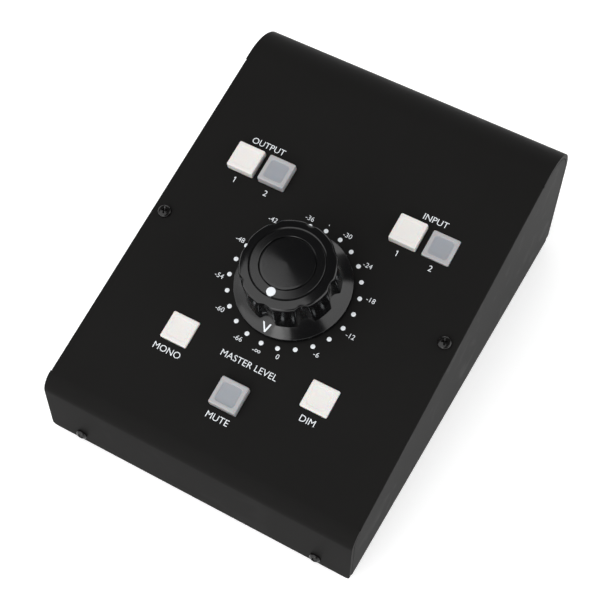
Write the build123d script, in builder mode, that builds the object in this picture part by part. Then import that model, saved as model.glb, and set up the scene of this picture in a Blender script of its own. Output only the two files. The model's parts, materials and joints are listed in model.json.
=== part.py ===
from build123d import *
import math
import os

# A desktop monitor controller: a folded steel wedge with a stepped attenuator under a
# fluted knob, seven latching push switches and eight jacks on the rear wall.
#
# Frame: X to the right, the front wall faces -Y, Z up. The origin is the middle of the
# footprint on the table that the feet stand on. Everything on the sloping panel is placed
# in the panel's own frame: x to the right, v up the slope to the rear, n out of the panel,
# with its origin where the knob's axis meets the panel. Sizes are in millimetres.

os.makedirs("parts", exist_ok=True)

# ------------------------------------------------------------------ case sizes
case_width = 145.6
case_depth = 198.2
front_height = 34.1  # front wall, from its lower edge to the corner it would have unrounded
panel_tilt = 13.4  # degrees
front_bend = 8.0  # outer bend radii of the cover
rear_bend = 22.5
side_fold = 1.0  # outer radius of the fold from the panel to each side wall
sheet = 2.0
seam = 0.3  # open seam between a side wall and the bent walls
wall_corner = 2.0  # rounding of the lower corners of the front and rear walls
relief_radius = 0.5  # bend reliefs at both ends of each side fold
relief_depth = 0.7
front_relief_gap = 0.2  # from the bend to the relief, along the panel
rear_relief_gap = 4.0
dial_setback = 82.2  # knob axis behind the front wall, level
foot_height = 3.0
foot_top_radius = 6.5
foot_bottom_radius = 5.4
foot_inset = 15.0
base_sheet = 1.5
base_fold = 2.5
base_flange = 10.0
base_gap = 0.4  # between the tray and the cover

# ------------------------------------------------------------------ fasteners
screw_radius = 1.5  # M3
screw_hole_radius = 1.7
screw_length = 8.0
head_radius = 3.0
wall_head_radius = 2.5  # front and rear screws
head_height = 2.0
head_round = 1.4
recess_depth = 1.2
recess_width = 0.8
recess_span = 3.4
thread_gap = 0.02
case_screw_height = 5.0  # front and rear screws above the cover's lower edge
front_screw_inset = 15.8  # from the case's side
rear_screw_inset = 8.8
panel_screw_inset = 5.8
panel_screw_v = 5.5
clinch_radius = 2.75
clinch_length = 3.0
pillar_flats = 5.5

# ------------------------------------------------------------------ main board
board_space = 1.8  # between the attenuator's lower deck and the board
board_sheet = 1.6
board_side_gap = 0.8
board_margin = 2.3  # beyond the outermost switch or plug
pin_radius = 0.35
pin_hole_radius = 0.5
pin_tail = 1.4  # below the board
resistor_radius = 1.15
resistor_length = 6.3
resistor_pitch = 4.5
resistor_rows = 6

# ------------------------------------------------------------------ push buttons
cap_size = 12.5
cap_gap = 0.25  # around a cap, in its panel hole
cap_corner = 0.8
cap_edge = 0.7
cap_depth = 9.5
cap_wall = 1.3
cap_roof = 2.0
dish_inset = 1.95  # from the cap's side
dish_corner = 1.8
dish_depth = 0.4
cap_height_out = 3.35  # top of a released cap above the panel
latch_drop = 2.5  # how much lower a latched cap stands
stem_size = 4.0
stem_gap = 0.05
socket_gap = 0.02
switch_size = 13.0
switch_height = 8.0
switch_wall = 1.2
collar_side_gap = 1.1
collar_thickness = 1.2
collar_gap = 0.1
guide_radius = 1.6
guide_length = 1.8
spring_radius = 2.5
spring_wire = 0.4
spring_turns = 5
spring_end_gap = 0.05
terminal_pitch = 4.0
button_pitch = 15.24
pair_x = 39.3  # middle of each pair of selector buttons
pair_v = 42.3
mono_x = 33.2
mono_v = -38.2
mute_v = -54.2

# ------------------------------------------------------------------ attenuator
attenuator_size = 36.0
attenuator_depth = 9.0  # frame block below the panel
attenuator_roof = 2.0
attenuator_steps = 24
bushing_radius = 5.0
bushing_height = 5.4
bushing_hole_gap = 0.2
shaft_radius = 3.0
shaft_gap = 0.03
shaft_height = 18.4
shaft_end_gap = 1.0  # to the main board
shaft_flat = 1.0  # depth of the flat
flat_gap = 1.6  # from the bushing's end to the flat
washer_radius = 8.5
washer_thickness = 0.8
nut_flats = 14.0
nut_thickness = 2.5
wheel_radius = 9.8
wheel_valley = 0.45
wheel_thickness = 2.4
wheel_gap = 0.8  # under the frame's roof
ball_radius = 1.5
ball_gap = 0.05
cavity_gap = 0.5
detent_bore_gap = 0.05
detent_end_wall = 1.0
detent_wire = 0.35
detent_turns = 4
deck_inset = 1.0  # from the frame's side
deck_corner = 2.0
deck_thickness = 1.2
deck_space_above = 2.0  # between the frame and the upper deck
deck_space_between = 2.8
contact_place_radius = 12.0
contact_radius = 0.9
contact_height = 0.15
wiper_gap = 0.05
wiper_thickness = 0.5
wiper_width = 3.0
wiper_hub_radius = 5.0
terminal_inset = 1.5  # from the decks' side
rod_inset = 3.0
rod_radius = 1.0
rod_gap = 0.05
rod_head_radius = 1.9
rod_head_height = 1.3
spacer_radius = 2.0

# ------------------------------------------------------------------ knob
knob_clearance = 0.8
knob_height = 25.1
skirt_radius = 25.2
skirt_rim = 3.6  # top of the skirt's rim above the panel
skirt_edge = 0.5
skirt_tuck = 0.3  # how far the skirt's slope runs on behind the flutes
skirt_ledge = 4.3  # from the skirt's side in to the grip's base
skirt_rise = 3.2  # from the skirt's rim up to the grip's base
grip_draft = 0.7  # how far the grip draws in towards its top
grip_drop = 3.3  # from the knob's top down to the shoulder's start
crown_round = 1.6
crown_width = 4.5  # from the grip's side in to the groove
crown_drop = 1.1
ring_drop = 0.7
ring_fall = 0.2  # from the ring's inner edge to its outer one
ring_width = 4.2
groove_width = 0.35
groove_depth = 0.5
disc_thickness = 1.6
disc_dome = 0.8
flute_count = 8
flute_radius = 4.0
flute_depth = 2.2  # at the grip's base
flute_top_depth = 1.0  # at the shoulder
flute_edge = 0.5
recess_side_gap = 1.7  # round the washer
recess_top_gap = 1.0  # over the bushing
shaft_bore_gap = 0.02
set_screw_radius = 2.0
set_screw_length = 6.0
set_screw_height = 13.0
set_screw_socket = 1.0
set_screw_angles = (67.5, 157.5)
dot_radius = 1.95
dot_depth = 1.2
dot_proud = 0.1
pointer_length = 3.6
pointer_width = 4.4
pointer_stroke = 0.65
pointer_tuck = 0.5  # how far its wide end runs in under the grip
pointer_depth = 0.35
pointer_proud = 0.03

# ------------------------------------------------------------------ rear wall
jack_bore_radius = 3.25
jack_bore_end = 1.2  # end wall of a jack
jack_body_size = 14.0
jack_body_corner = 1.0
jack_body_depth = 26.0
jack_bushing_radius = 4.75
jack_hole_gap = 0.15
jack_reach = 4.4  # bushing beyond the rear wall
jack_washer_radius = 7.0
jack_washer_thickness = 0.8
jack_nut_flats = 12.7
jack_nut_thickness = 2.8
jack_pitch_x = 28.5
jack_pitch_z = 23.0
jack_low_height = 19.0  # lower row above the cover's lower edge
rear_board_margin = 4.0  # beyond the jacks
header_width = 26.0
header_depth = 9.0
header_height = 5.0
rear_header_height = 24.0  # above the cover's lower edge
ribbon_side_gap = 3.0  # inside each end of a header
ribbon_thickness = 0.9
ribbon_bend = 6.0
ribbon_run = 15.0  # level way from the main board's plug to the ribbon's bend

# ------------------------------------------------------------------ derived places
tilt = math.radians(panel_tilt)
slope = math.tan(tilt)
base_z = foot_height
front_y = -(case_depth + head_height + jack_reach) / 2 + head_height
rear_y = front_y + case_depth
dial_y = front_y + dial_setback
dial_z = base_z + front_height + dial_setback * slope
half_width = case_width / 2
inner_half_width = half_width - sheet

panel = Plane(origin=(0, dial_y, dial_z), x_dir=(1, 0, 0), z_dir=(0, -math.sin(tilt), math.cos(tilt)))
front_wall = Plane(origin=(0, front_y, base_z), x_dir=(1, 0, 0), z_dir=(0, -1, 0))
rear_wall = Plane(origin=(0, rear_y, base_z), x_dir=(-1, 0, 0), z_dir=(0, 1, 0))

front_corner_v = -dial_setback / math.cos(tilt)
rear_corner_v = front_corner_v + case_depth / math.cos(tilt)
front_bend_run = front_bend / math.tan((math.pi / 2 + tilt) / 2)
rear_bend_run = rear_bend / math.tan((math.pi / 2 - tilt) / 2)
front_relief_v = front_corner_v + front_bend_run + front_relief_gap
rear_relief_v = rear_corner_v - rear_bend_run - rear_relief_gap

buttons = {
    "output_1": (-pair_x - button_pitch / 2, pair_v, 0.0),
    "output_2": (-pair_x + button_pitch / 2, pair_v, 0.0),
    "input_1": (pair_x - button_pitch / 2, pair_v, 0.0),
    "input_2": (pair_x + button_pitch / 2, pair_v, latch_drop),
    "mono": (-mono_x, mono_v, latch_drop),
    "dim": (mono_x, mono_v, latch_drop),
    "mute": (0.0, mute_v, 0.0),
}
button_places = [(x, v) for x, v, drop in buttons.values()]
front_screw_x = half_width - front_screw_inset
rear_screw_x = half_width - rear_screw_inset
panel_screw_x = half_width - panel_screw_inset
panel_screw_places = [(-panel_screw_x, panel_screw_v), (panel_screw_x, panel_screw_v)]
front_screw_places = [(-front_screw_x, case_screw_height), (front_screw_x, case_screw_height)]
rear_screw_places = [(-rear_screw_x, case_screw_height), (rear_screw_x, case_screw_height)]
jack_columns = [-1.5 * jack_pitch_x, -0.5 * jack_pitch_x, 0.5 * jack_pitch_x, 1.5 * jack_pitch_x]
jack_rows = [jack_low_height, jack_low_height + jack_pitch_z]
input_places = [(x, z) for x in jack_columns[:2] for z in jack_rows]
output_places = [(x, z) for x in jack_columns[2:] for z in jack_rows]

deck_size = attenuator_size - 2 * deck_inset
upper_deck_drop = sheet + attenuator_depth + deck_space_above
lower_deck_drop = upper_deck_drop + deck_thickness + deck_space_between
terminal_place_radius = deck_size / 2 - terminal_inset
rod_place = deck_size / 2 - rod_inset
rod_places = [(x, v) for x in (-rod_place, rod_place) for v in (-rod_place, rod_place)]
board_drop = lower_deck_drop + deck_thickness + board_space

# The main board's plug hangs under the board, one ribbon's run before the rear board's plug.
plug_middle = 1.5 * header_height
ribbon_drop = board_drop + board_sheet + plug_middle
ribbon_end_y = rear_y - sheet - jack_body_depth - board_sheet - plug_middle
ribbon_start_v = (ribbon_end_y - ribbon_run - dial_y - ribbon_drop * math.sin(tilt)) / math.cos(tilt)
header_v = ribbon_start_v - header_depth / 2
board_front_v = mute_v - switch_size / 2 - board_margin
board_rear_v = max(ribbon_start_v, pair_v + switch_size / 2) + board_margin


def keep(piece, name):
    """Label a finished piece and write it to its own file."""
    piece.part.label = name
    export_step(piece.part, f"parts/{name}.step")


def side_outline(inset):
    """The case seen from the side, moved inwards by inset, down to the cover's lower edge."""
    low_y = front_y + inset
    high_y = rear_y - inset
    lift = base_z + front_height - inset / math.cos(tilt)
    corners = [
        (low_y, base_z),
        (low_y, lift + inset * slope),
        (high_y, lift + (case_depth - inset) * slope),
        (high_y, base_z),
    ]
    with BuildSketch(Plane.YZ) as outline:
        with BuildLine():
            FilletPolyline(*corners, radius=[front_bend - inset, rear_bend - inset])
            Line(corners[-1], corners[0])
        make_face()
    return outline.sketch


# ------------------------------------------------------------------ top cover
fold_start = Plane(
    origin=panel.from_local_coords((0, front_relief_v, 0)),
    x_dir=(1, 0, 0),
    z_dir=panel.y_dir,
)
fold_length = rear_relief_v - front_relief_v
fold_middle_v = front_relief_v + fold_length / 2
cut_depth = 1.5 * sheet  # enough to pass through one wall
sides = (-1, 1)

with BuildPart() as top_cover:
    extrude(side_outline(0), amount=half_width, both=True)
    extrude(side_outline(sheet), amount=half_width, both=True, mode=Mode.SUBTRACT)
    extrude(side_outline(sheet + seam), amount=half_width, both=True)
    extrude(side_outline(sheet + seam), amount=inner_half_width, both=True, mode=Mode.SUBTRACT)
    # The side walls hang on the panel between the reliefs, where there is no seam.
    with BuildSketch(panel.offset(-sheet + seam)):
        with Locations(*[(side * (half_width - sheet / 2), fold_middle_v) for side in sides]):
            Rectangle(sheet, fold_length)
    extrude(amount=-3 * seam)
    # Round the two long folds.
    with BuildSketch(fold_start):
        with Locations(*[(side * (half_width - side_fold / 2), side_fold / 2) for side in sides]):
            Rectangle(side_fold, side_fold)
        with Locations(*[(side * (half_width - side_fold), side_fold) for side in sides]):
            Circle(side_fold, mode=Mode.SUBTRACT)
    extrude(amount=fold_length, mode=Mode.SUBTRACT)
    for side in sides:
        ends = [panel.from_local_coords((0, v, -relief_depth)) for v in (front_relief_v, rear_relief_v)]
        with BuildSketch(Plane.YZ.offset(side * half_width)):
            with Locations(*[(end.Y, end.Z) for end in ends]):
                Circle(relief_radius)
        extrude(amount=-side * cut_depth, mode=Mode.SUBTRACT)
    with BuildSketch(panel):
        Circle(bushing_radius + bushing_hole_gap)
        with Locations(*panel_screw_places):
            Circle(screw_hole_radius)
        with Locations(*button_places):
            RectangleRounded(cap_size + 2 * cap_gap, cap_size + 2 * cap_gap, cap_corner + cap_gap)
    extrude(amount=-cut_depth, mode=Mode.SUBTRACT)
    with BuildSketch(front_wall):
        with Locations(*front_screw_places):
            Circle(screw_hole_radius)
    extrude(amount=-cut_depth, mode=Mode.SUBTRACT)
    with BuildSketch(rear_wall):
        with Locations(*rear_screw_places):
            Circle(screw_hole_radius)
        with Locations(*input_places, *output_places):
            Circle(jack_bushing_radius + jack_hole_gap)
    extrude(amount=-cut_depth, mode=Mode.SUBTRACT)
    low_edges = top_cover.edges().filter_by(Axis.Y).group_by(Axis.Z)[0]
    wall_corners = low_edges.filter_by(
        lambda edge: edge.length < cut_depth and abs(edge.center().X) > inner_half_width
    )
    fillet(wall_corners, radius=wall_corner)
keep(top_cover, "top_cover")

# ------------------------------------------------------------------ base plate and feet
tray_front = front_y + sheet + base_gap
tray_rear = rear_y - sheet - base_gap
tray_half_width = inner_half_width - base_gap
tray_flange_z = base_z + base_flange

with BuildPart() as base_plate:
    for inset, mode in ((0.0, Mode.ADD), (base_sheet, Mode.SUBTRACT)):
        tray_corners = [
            (tray_front + inset, tray_flange_z),
            (tray_front + inset, base_z + inset),
            (tray_rear - inset, base_z + inset),
            (tray_rear - inset, tray_flange_z),
        ]
        with BuildSketch(Plane.YZ):
            with BuildLine():
                FilletPolyline(*tray_corners, radius=base_fold - inset)
                Line(tray_corners[-1], tray_corners[0])
            make_face()
        extrude(amount=tray_half_width, both=True, mode=mode)
    with BuildSketch(Plane.XZ):
        with Locations(*[(x, base_z + z) for x, z in front_screw_places]):
            Circle(clinch_radius)
    extrude(amount=case_depth, mode=Mode.SUBTRACT)
    with BuildSketch(Plane.XZ):
        with Locations(*[(x, base_z + z) for x, z in rear_screw_places]):
            Circle(clinch_radius)
    extrude(amount=-case_depth, mode=Mode.SUBTRACT)
keep(base_plate, "base_plate")

foot_x = half_width - foot_inset
foot_places = [(x, y) for x in (-foot_x, foot_x) for y in (front_y + foot_inset, rear_y - foot_inset)]

with BuildPart() as rubber_feet:
    with Locations(*[(x, y, foot_height / 2) for x, y in foot_places]):
        Cone(foot_bottom_radius, foot_top_radius, foot_height)
keep(rubber_feet, "rubber_feet")


# ------------------------------------------------------------------ screws, nuts and pillars
def pan_screws(wall, places, radius):
    """Pan-head machine screws with a cross recess, heads seated on the wall's outer face."""
    with BuildPart() as screws:
        with BuildSketch(wall):
            with Locations(*places):
                Circle(screw_radius)
        extrude(amount=-screw_length)
        with BuildSketch(wall):
            with Locations(*places):
                Circle(radius)
        extrude(amount=head_height)
        head_tops = screws.faces().filter_by(Plane(wall.origin, z_dir=wall.z_dir)).sort_by(
            Axis(wall.origin, wall.z_dir)
        )[-len(places):]
        fillet(head_tops.edges(), radius=head_round)
        with BuildSketch(wall.offset(head_height)):
            with Locations(*places):
                Rectangle(recess_span, recess_width)
                Rectangle(recess_width, recess_span)
        extrude(amount=-recess_depth, mode=Mode.SUBTRACT)
    return screws.part


with BuildPart() as case_screws:
    add(pan_screws(panel, panel_screw_places, head_radius))
    add(pan_screws(front_wall, front_screw_places, wall_head_radius))
    add(pan_screws(rear_wall, rear_screw_places, wall_head_radius))
keep(case_screws, "case_screws")

with BuildPart() as clinch_nuts:
    for wall, places in ((front_wall, front_screw_places), (rear_wall, rear_screw_places)):
        with BuildSketch(wall.offset(-sheet - base_gap)):
            with Locations(*places):
                Circle(clinch_radius)
                Circle(screw_radius + thread_gap, mode=Mode.SUBTRACT)
        extrude(amount=-clinch_length)
keep(clinch_nuts, "clinch_nuts")

with BuildPart() as board_pillars:
    with BuildSketch(panel.offset(-sheet)):
        with Locations(*panel_screw_places):
            RegularPolygon(pillar_flats / 2, 6, major_radius=False)
            Circle(screw_radius + thread_gap, mode=Mode.SUBTRACT)
    extrude(amount=-(board_drop - sheet))
keep(board_pillars, "board_pillars")

board_under = Plane(
    origin=panel.offset(-board_drop - board_sheet).origin, x_dir=(1, 0, 0), z_dir=(-panel.z_dir)
)
under_screw_places = [(x, -v) for x, v in panel_screw_places]

with BuildPart() as board_screws:
    add(pan_screws(board_under, under_screw_places, head_radius))
keep(board_screws, "board_screws")

# ------------------------------------------------------------------ main board
board_half_width = inner_half_width - board_side_gap
step_angle = 360 / attenuator_steps


def switch_pins(x, v):
    """Where the six pins of one switch pass through the board: a row along each side wall."""
    pin_x = (switch_size - switch_wall) / 2
    return [(x + side * pin_x, v + row * terminal_pitch) for side in sides for row in (-1, 0, 1)]


switch_pin_places = [place for x, v in button_places for place in switch_pins(x, v)]

with BuildPart() as main_board:
    with BuildSketch(panel.offset(-board_drop)):
        with Locations((0, (board_front_v + board_rear_v) / 2)):
            Rectangle(2 * board_half_width, board_rear_v - board_front_v)
        with Locations(*panel_screw_places):
            Circle(screw_hole_radius, mode=Mode.SUBTRACT)
        with Locations(*switch_pin_places):
            Circle(pin_hole_radius, mode=Mode.SUBTRACT)
        with PolarLocations(terminal_place_radius, attenuator_steps, start_angle=step_angle / 2):
            Circle(pin_hole_radius, mode=Mode.SUBTRACT)
    extrude(amount=-board_sheet)
keep(main_board, "main_board")

resistor_x = (attenuator_size / 2 + board_half_width) / 2

with BuildPart() as resistors:
    for side in sides:
        for row in range(resistor_rows):
            resistor_v = (row - (resistor_rows - 1) / 2) * resistor_pitch
            with BuildSketch(
                Plane(
                    origin=panel.from_local_coords(
                        (side * resistor_x - resistor_length / 2, resistor_v, resistor_radius - board_drop)
                    ),
                    x_dir=panel.y_dir,
                    z_dir=(1, 0, 0),
                )
            ):
                Circle(resistor_radius)
            extrude(amount=resistor_length)
keep(resistors, "resistors")

# ------------------------------------------------------------------ push buttons
switch_top = -board_drop + switch_height
collar_top = switch_top - switch_wall - collar_gap
stem_top = cap_height_out - cap_roof
collar_size = switch_size - 2 * (switch_wall + collar_side_gap)
boss_size = stem_size + 2 * cap_wall
dish_size = cap_size - 2 * dish_inset


def coil_spring(seat, direction, length, radius, wire, turns):
    """A compression spring from its seat along direction; length is over the wire."""
    rise = length - wire
    with BuildPart() as spring:
        with BuildLine() as coil:
            Helix(pitch=rise / turns, height=rise, radius=radius, center=seat, direction=direction)
        with BuildSketch(Plane(origin=coil.line @ 0, z_dir=coil.line % 0)):
            Circle(wire / 2)
        sweep(path=coil.line, is_frenet=True)
    return spring


def push_switch_housing(x, v):
    """A switch body open towards the board, with a square guide for the stem and six pins."""
    with BuildPart() as housing:
        with BuildSketch(panel.offset(-board_drop)):
            with Locations((x, v)):
                Rectangle(switch_size, switch_size)
        extrude(amount=switch_height)
        with BuildSketch(panel.offset(-board_drop)):
            with Locations((x, v)):
                Rectangle(switch_size - 2 * switch_wall, switch_size - 2 * switch_wall)
        extrude(amount=switch_height - switch_wall, mode=Mode.SUBTRACT)
        with BuildSketch(panel.offset(switch_top)):
            with Locations((x, v)):
                Rectangle(stem_size + 2 * stem_gap, stem_size + 2 * stem_gap)
        extrude(amount=-2 * switch_wall, mode=Mode.SUBTRACT)
        with BuildSketch(panel.offset(-board_drop)):
            with Locations(*switch_pins(x, v)):
                Circle(pin_radius)
        extrude(amount=-(board_sheet + pin_tail))
    return housing


def push_switch_plunger(x, v, drop):
    """The square stem with its collar under the switch's roof and the spring guide below."""
    with BuildPart() as plunger:
        with BuildSketch(panel.offset(collar_top - drop)):
            with Locations((x, v)):
                Rectangle(collar_size, collar_size)
        extrude(amount=-collar_thickness)
        with BuildSketch(panel.offset(collar_top - drop)):
            with Locations((x, v)):
                Rectangle(stem_size, stem_size)
        extrude(amount=stem_top - collar_top)
        with BuildSketch(panel.offset(collar_top - collar_thickness - drop)):
            with Locations((x, v)):
                Circle(guide_radius)
        extrude(amount=-guide_length)
    return plunger


def push_switch_spring(x, v, drop):
    """The return spring between the collar and the board."""
    length = board_drop + collar_top - collar_thickness - drop
    seat = panel.from_local_coords((x, v, spring_end_gap + spring_wire / 2 - board_drop))
    length -= 2 * spring_end_gap
    return coil_spring(seat, panel.z_dir, length, spring_radius, spring_wire, spring_turns)


def button_cap(x, v, drop):
    """A square cap with rounded edges and a shallow dish, hollow below round its socket."""
    top = cap_height_out - drop
    with BuildPart() as cap:
        with BuildSketch(panel.offset(top)):
            with Locations((x, v)):
                RectangleRounded(cap_size, cap_size, cap_corner)
        extrude(amount=-cap_depth)
        upward = Axis(panel.origin, panel.z_dir)
        fillet(cap.faces().sort_by(upward)[-1].edges(), radius=cap_edge)
        with BuildSketch(panel.offset(top)):
            with Locations((x, v)):
                RectangleRounded(dish_size, dish_size, dish_corner)
        extrude(amount=-dish_depth, taper=45, mode=Mode.SUBTRACT)
        hollow = cap_size - 2 * cap_wall
        with BuildSketch(panel.offset(top - cap_roof)):
            with Locations((x, v)):
                Rectangle(hollow, hollow)
                Rectangle(boss_size, boss_size, mode=Mode.SUBTRACT)
        extrude(amount=-cap_depth, mode=Mode.SUBTRACT)
        with BuildSketch(panel.offset(top - cap_roof)):
            with Locations((x, v)):
                Rectangle(stem_size + 2 * socket_gap, stem_size + 2 * socket_gap)
        extrude(amount=-cap_depth, mode=Mode.SUBTRACT)
    return cap


for name, (button_x, button_v, button_drop) in buttons.items():
    keep(push_switch_housing(button_x, button_v), f"{name}_switch")
    keep(push_switch_plunger(button_x, button_v, button_drop), f"{name}_plunger")
    keep(push_switch_spring(button_x, button_v, button_drop), f"{name}_spring")
    keep(button_cap(button_x, button_v, button_drop), f"{name}_cap")

# ------------------------------------------------------------------ attenuator
frame_top = -sheet
frame_bottom = frame_top - attenuator_depth
cavity_radius = wheel_radius + cavity_gap
wheel_drop = sheet + attenuator_roof + wheel_gap + wheel_thickness / 2
ball_place = wheel_radius + ball_gap + ball_radius
ball_bore_radius = ball_radius + detent_bore_gap
detent_bore_end = attenuator_size / 2 - detent_end_wall


def sideways(side):
    """The plane across the detent's line of travel, at the wheel's height, facing outwards."""
    origin = panel.from_local_coords((0, 0, -wheel_drop))
    return Plane(origin=origin, x_dir=panel.y_dir, z_dir=(side, 0, 0))


with BuildPart() as attenuator_frame:
    with BuildSketch(panel.offset(frame_top)):
        RectangleRounded(attenuator_size, attenuator_size, deck_corner)
    extrude(amount=-attenuator_depth)
    with BuildSketch(panel.offset(frame_top)):
        Circle(bushing_radius)
    extrude(amount=sheet + bushing_height)
    with BuildSketch(panel.offset(frame_bottom)):
        Circle(cavity_radius)
        with Locations(*rod_places):
            Circle(rod_radius + rod_gap)
    extrude(amount=attenuator_depth - attenuator_roof, mode=Mode.SUBTRACT)
    with BuildSketch(panel.offset(bushing_height)):
        Circle(shaft_radius + shaft_gap)
    extrude(amount=-(bushing_height + board_drop), mode=Mode.SUBTRACT)
    for side in sides:
        with BuildSketch(sideways(side).offset(wheel_radius)):
            Circle(ball_bore_radius)
        extrude(amount=detent_bore_end - wheel_radius, mode=Mode.SUBTRACT)
keep(attenuator_frame, "attenuator_frame")

with BuildPart() as attenuator_washer:
    with BuildSketch(panel):
        Circle(washer_radius)
        Circle(bushing_radius + thread_gap, mode=Mode.SUBTRACT)
    extrude(amount=washer_thickness)
keep(attenuator_washer, "attenuator_washer")

with BuildPart() as attenuator_nut:
    with BuildSketch(panel.offset(washer_thickness)):
        RegularPolygon(nut_flats / 2, 6, major_radius=False)
        Circle(bushing_radius + thread_gap, mode=Mode.SUBTRACT)
    extrude(amount=nut_thickness)
keep(attenuator_nut, "attenuator_nut")

with BuildPart() as attenuator_shaft:
    with BuildSketch(panel.offset(shaft_height)):
        Circle(shaft_radius)
    extrude(amount=-(shaft_height + board_drop - shaft_end_gap))
    with BuildSketch(panel.offset(bushing_height + flat_gap)):
        with Locations(Rotation(0, 0, set_screw_angles[0])):
            with Locations((2 * shaft_radius - shaft_flat, 0)):
                Rectangle(2 * shaft_radius, 4 * shaft_radius)
    extrude(amount=shaft_height, mode=Mode.SUBTRACT)
keep(attenuator_shaft, "attenuator_shaft")

valley_radius = wheel_radius - wheel_valley

with BuildPart() as detent_wheel:
    with BuildSketch(panel.offset(-wheel_drop - wheel_thickness / 2)):
        with BuildLine():
            for step in range(attenuator_steps):
                middle = step * step_angle
                start, low, end = [
                    (radius * math.cos(math.radians(angle)), radius * math.sin(math.radians(angle)))
                    for radius, angle in (
                        (wheel_radius, middle - step_angle / 2),
                        (valley_radius, middle),
                        (wheel_radius, middle + step_angle / 2),
                    )
                ]
                ThreePointArc(start, low, end)
        make_face()
        Circle(shaft_radius + thread_gap, mode=Mode.SUBTRACT)
    extrude(amount=wheel_thickness)
keep(detent_wheel, "detent_wheel")

with BuildPart() as detent_balls:
    for side in sides:
        with Locations(sideways(side).offset(ball_place).origin):
            Sphere(ball_radius)
keep(detent_balls, "detent_balls")

detent_spring_start = ball_place + ball_radius
detent_spring_length = detent_bore_end - detent_spring_start
detent_coil_radius = ball_radius - detent_wire / 2 - detent_bore_gap

with BuildPart() as detent_springs:
    for side in sides:
        seat = sideways(side).offset(detent_spring_start + spring_end_gap + detent_wire / 2).origin
        coil_length = detent_spring_length - 2 * spring_end_gap
        add(coil_spring(seat, (side, 0, 0), coil_length, detent_coil_radius, detent_wire, detent_turns).part)
keep(detent_springs, "detent_springs")

with BuildPart() as attenuator_decks:
    for drop, face in ((upper_deck_drop, -1), (lower_deck_drop, 1)):
        with BuildSketch(panel.offset(-drop)):
            RectangleRounded(deck_size, deck_size, deck_corner)
            Circle(shaft_radius + 2 * shaft_gap, mode=Mode.SUBTRACT)
            with Locations(*rod_places):
                Circle(rod_radius + rod_gap, mode=Mode.SUBTRACT)
        extrude(amount=-deck_thickness)
        contact_face = -drop if face > 0 else -drop - deck_thickness
        with BuildSketch(panel.offset(contact_face)):
            with PolarLocations(contact_place_radius, attenuator_steps):
                Circle(contact_radius)
        extrude(amount=face * contact_height)
    with BuildSketch(panel.offset(-lower_deck_drop - deck_thickness)):
        with PolarLocations(terminal_place_radius, attenuator_steps, start_angle=step_angle / 2):
            Circle(pin_radius)
    extrude(amount=-(board_space + board_sheet + pin_tail))
keep(attenuator_decks, "attenuator_decks")

upper_contact = upper_deck_drop + deck_thickness + contact_height + wiper_gap
lower_contact = lower_deck_drop - contact_height - wiper_gap
wiper_reach = contact_place_radius + contact_radius

with BuildPart() as attenuator_wiper:
    with BuildSketch(panel.offset(-upper_contact)):
        Circle(wiper_hub_radius)
    extrude(amount=upper_contact - lower_contact)
    for drop, direction in ((upper_contact, -1), (lower_contact, 1)):
        with BuildSketch(panel.offset(-drop)):
            with Locations((0, -wiper_reach / 2)):
                Rectangle(wiper_width, wiper_reach)
        extrude(amount=direction * wiper_thickness)
    with BuildSketch(panel.offset(-upper_contact)):
        Circle(shaft_radius + thread_gap)
    extrude(amount=upper_contact - lower_contact, mode=Mode.SUBTRACT)
keep(attenuator_wiper, "attenuator_wiper")

with BuildPart() as attenuator_rods:
    with BuildSketch(panel.offset(-lower_deck_drop - deck_thickness)):
        with Locations(*rod_places):
            Circle(rod_head_radius)
    extrude(amount=-rod_head_height)
    with BuildSketch(panel.offset(-lower_deck_drop - deck_thickness)):
        with Locations(*rod_places):
            Circle(rod_radius)
    extrude(amount=lower_deck_drop + deck_thickness + frame_bottom + attenuator_depth / 2)
    for drop, space in ((upper_deck_drop, deck_space_above), (lower_deck_drop, deck_space_between)):
        with BuildSketch(panel.offset(-drop)):
            with Locations(*rod_places):
                Circle(spacer_radius)
        extrude(amount=space)
keep(attenuator_rods, "attenuator_rods")

# ------------------------------------------------------------------ knob
knob_axis = Axis(panel.origin, panel.z_dir)
# Profiles of turned parts are drawn in the plane that holds the knob's axis: first
# coordinate the radius, second the height above the panel.
turning = Plane(origin=panel.origin, x_dir=(1, 0, 0), z_dir=(-panel.y_dir))
grip_base_radius = skirt_radius - skirt_ledge
grip_base_height = skirt_rim + skirt_rise
grip_top_radius = grip_base_radius - grip_draft
grip_top_height = knob_height - grip_drop
grip_taper = grip_draft / (grip_top_height - grip_base_height)
flute_taper = (flute_depth - flute_top_depth) / (grip_top_height - grip_base_height)
skirt_slope = skirt_rise / (skirt_ledge - skirt_edge)
skirt_top_radius = grip_base_radius - flute_depth - skirt_tuck
skirt_top_height = grip_base_height + (flute_depth + skirt_tuck) * skirt_slope
shoulder = (grip_top_radius - crown_round, grip_top_height + crown_round)
crown_radius = grip_top_radius - crown_width
crown_height = knob_height - crown_drop
groove_inner = crown_radius - groove_width
ring_height = knob_height - ring_drop
disc_radius = crown_radius - ring_width
disc_seat = knob_height - disc_dome - disc_thickness
dot_place = (disc_radius + crown_radius) / 2
recess_radius = washer_radius + recess_side_gap
recess_height = bushing_height + recess_top_gap
bore_end = shaft_height + knob_clearance
pointer_start = grip_base_radius - pointer_tuck


def on_knob(angle, radius, height):
    """A plane at a place of the knob's side, facing outwards along its radius."""
    turned = math.radians(angle)
    outwards = panel.x_dir * math.cos(turned) + panel.y_dir * math.sin(turned)
    origin = panel.origin + outwards * radius + panel.z_dir * height
    return Plane(origin=origin, x_dir=panel.z_dir, z_dir=outwards)


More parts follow.
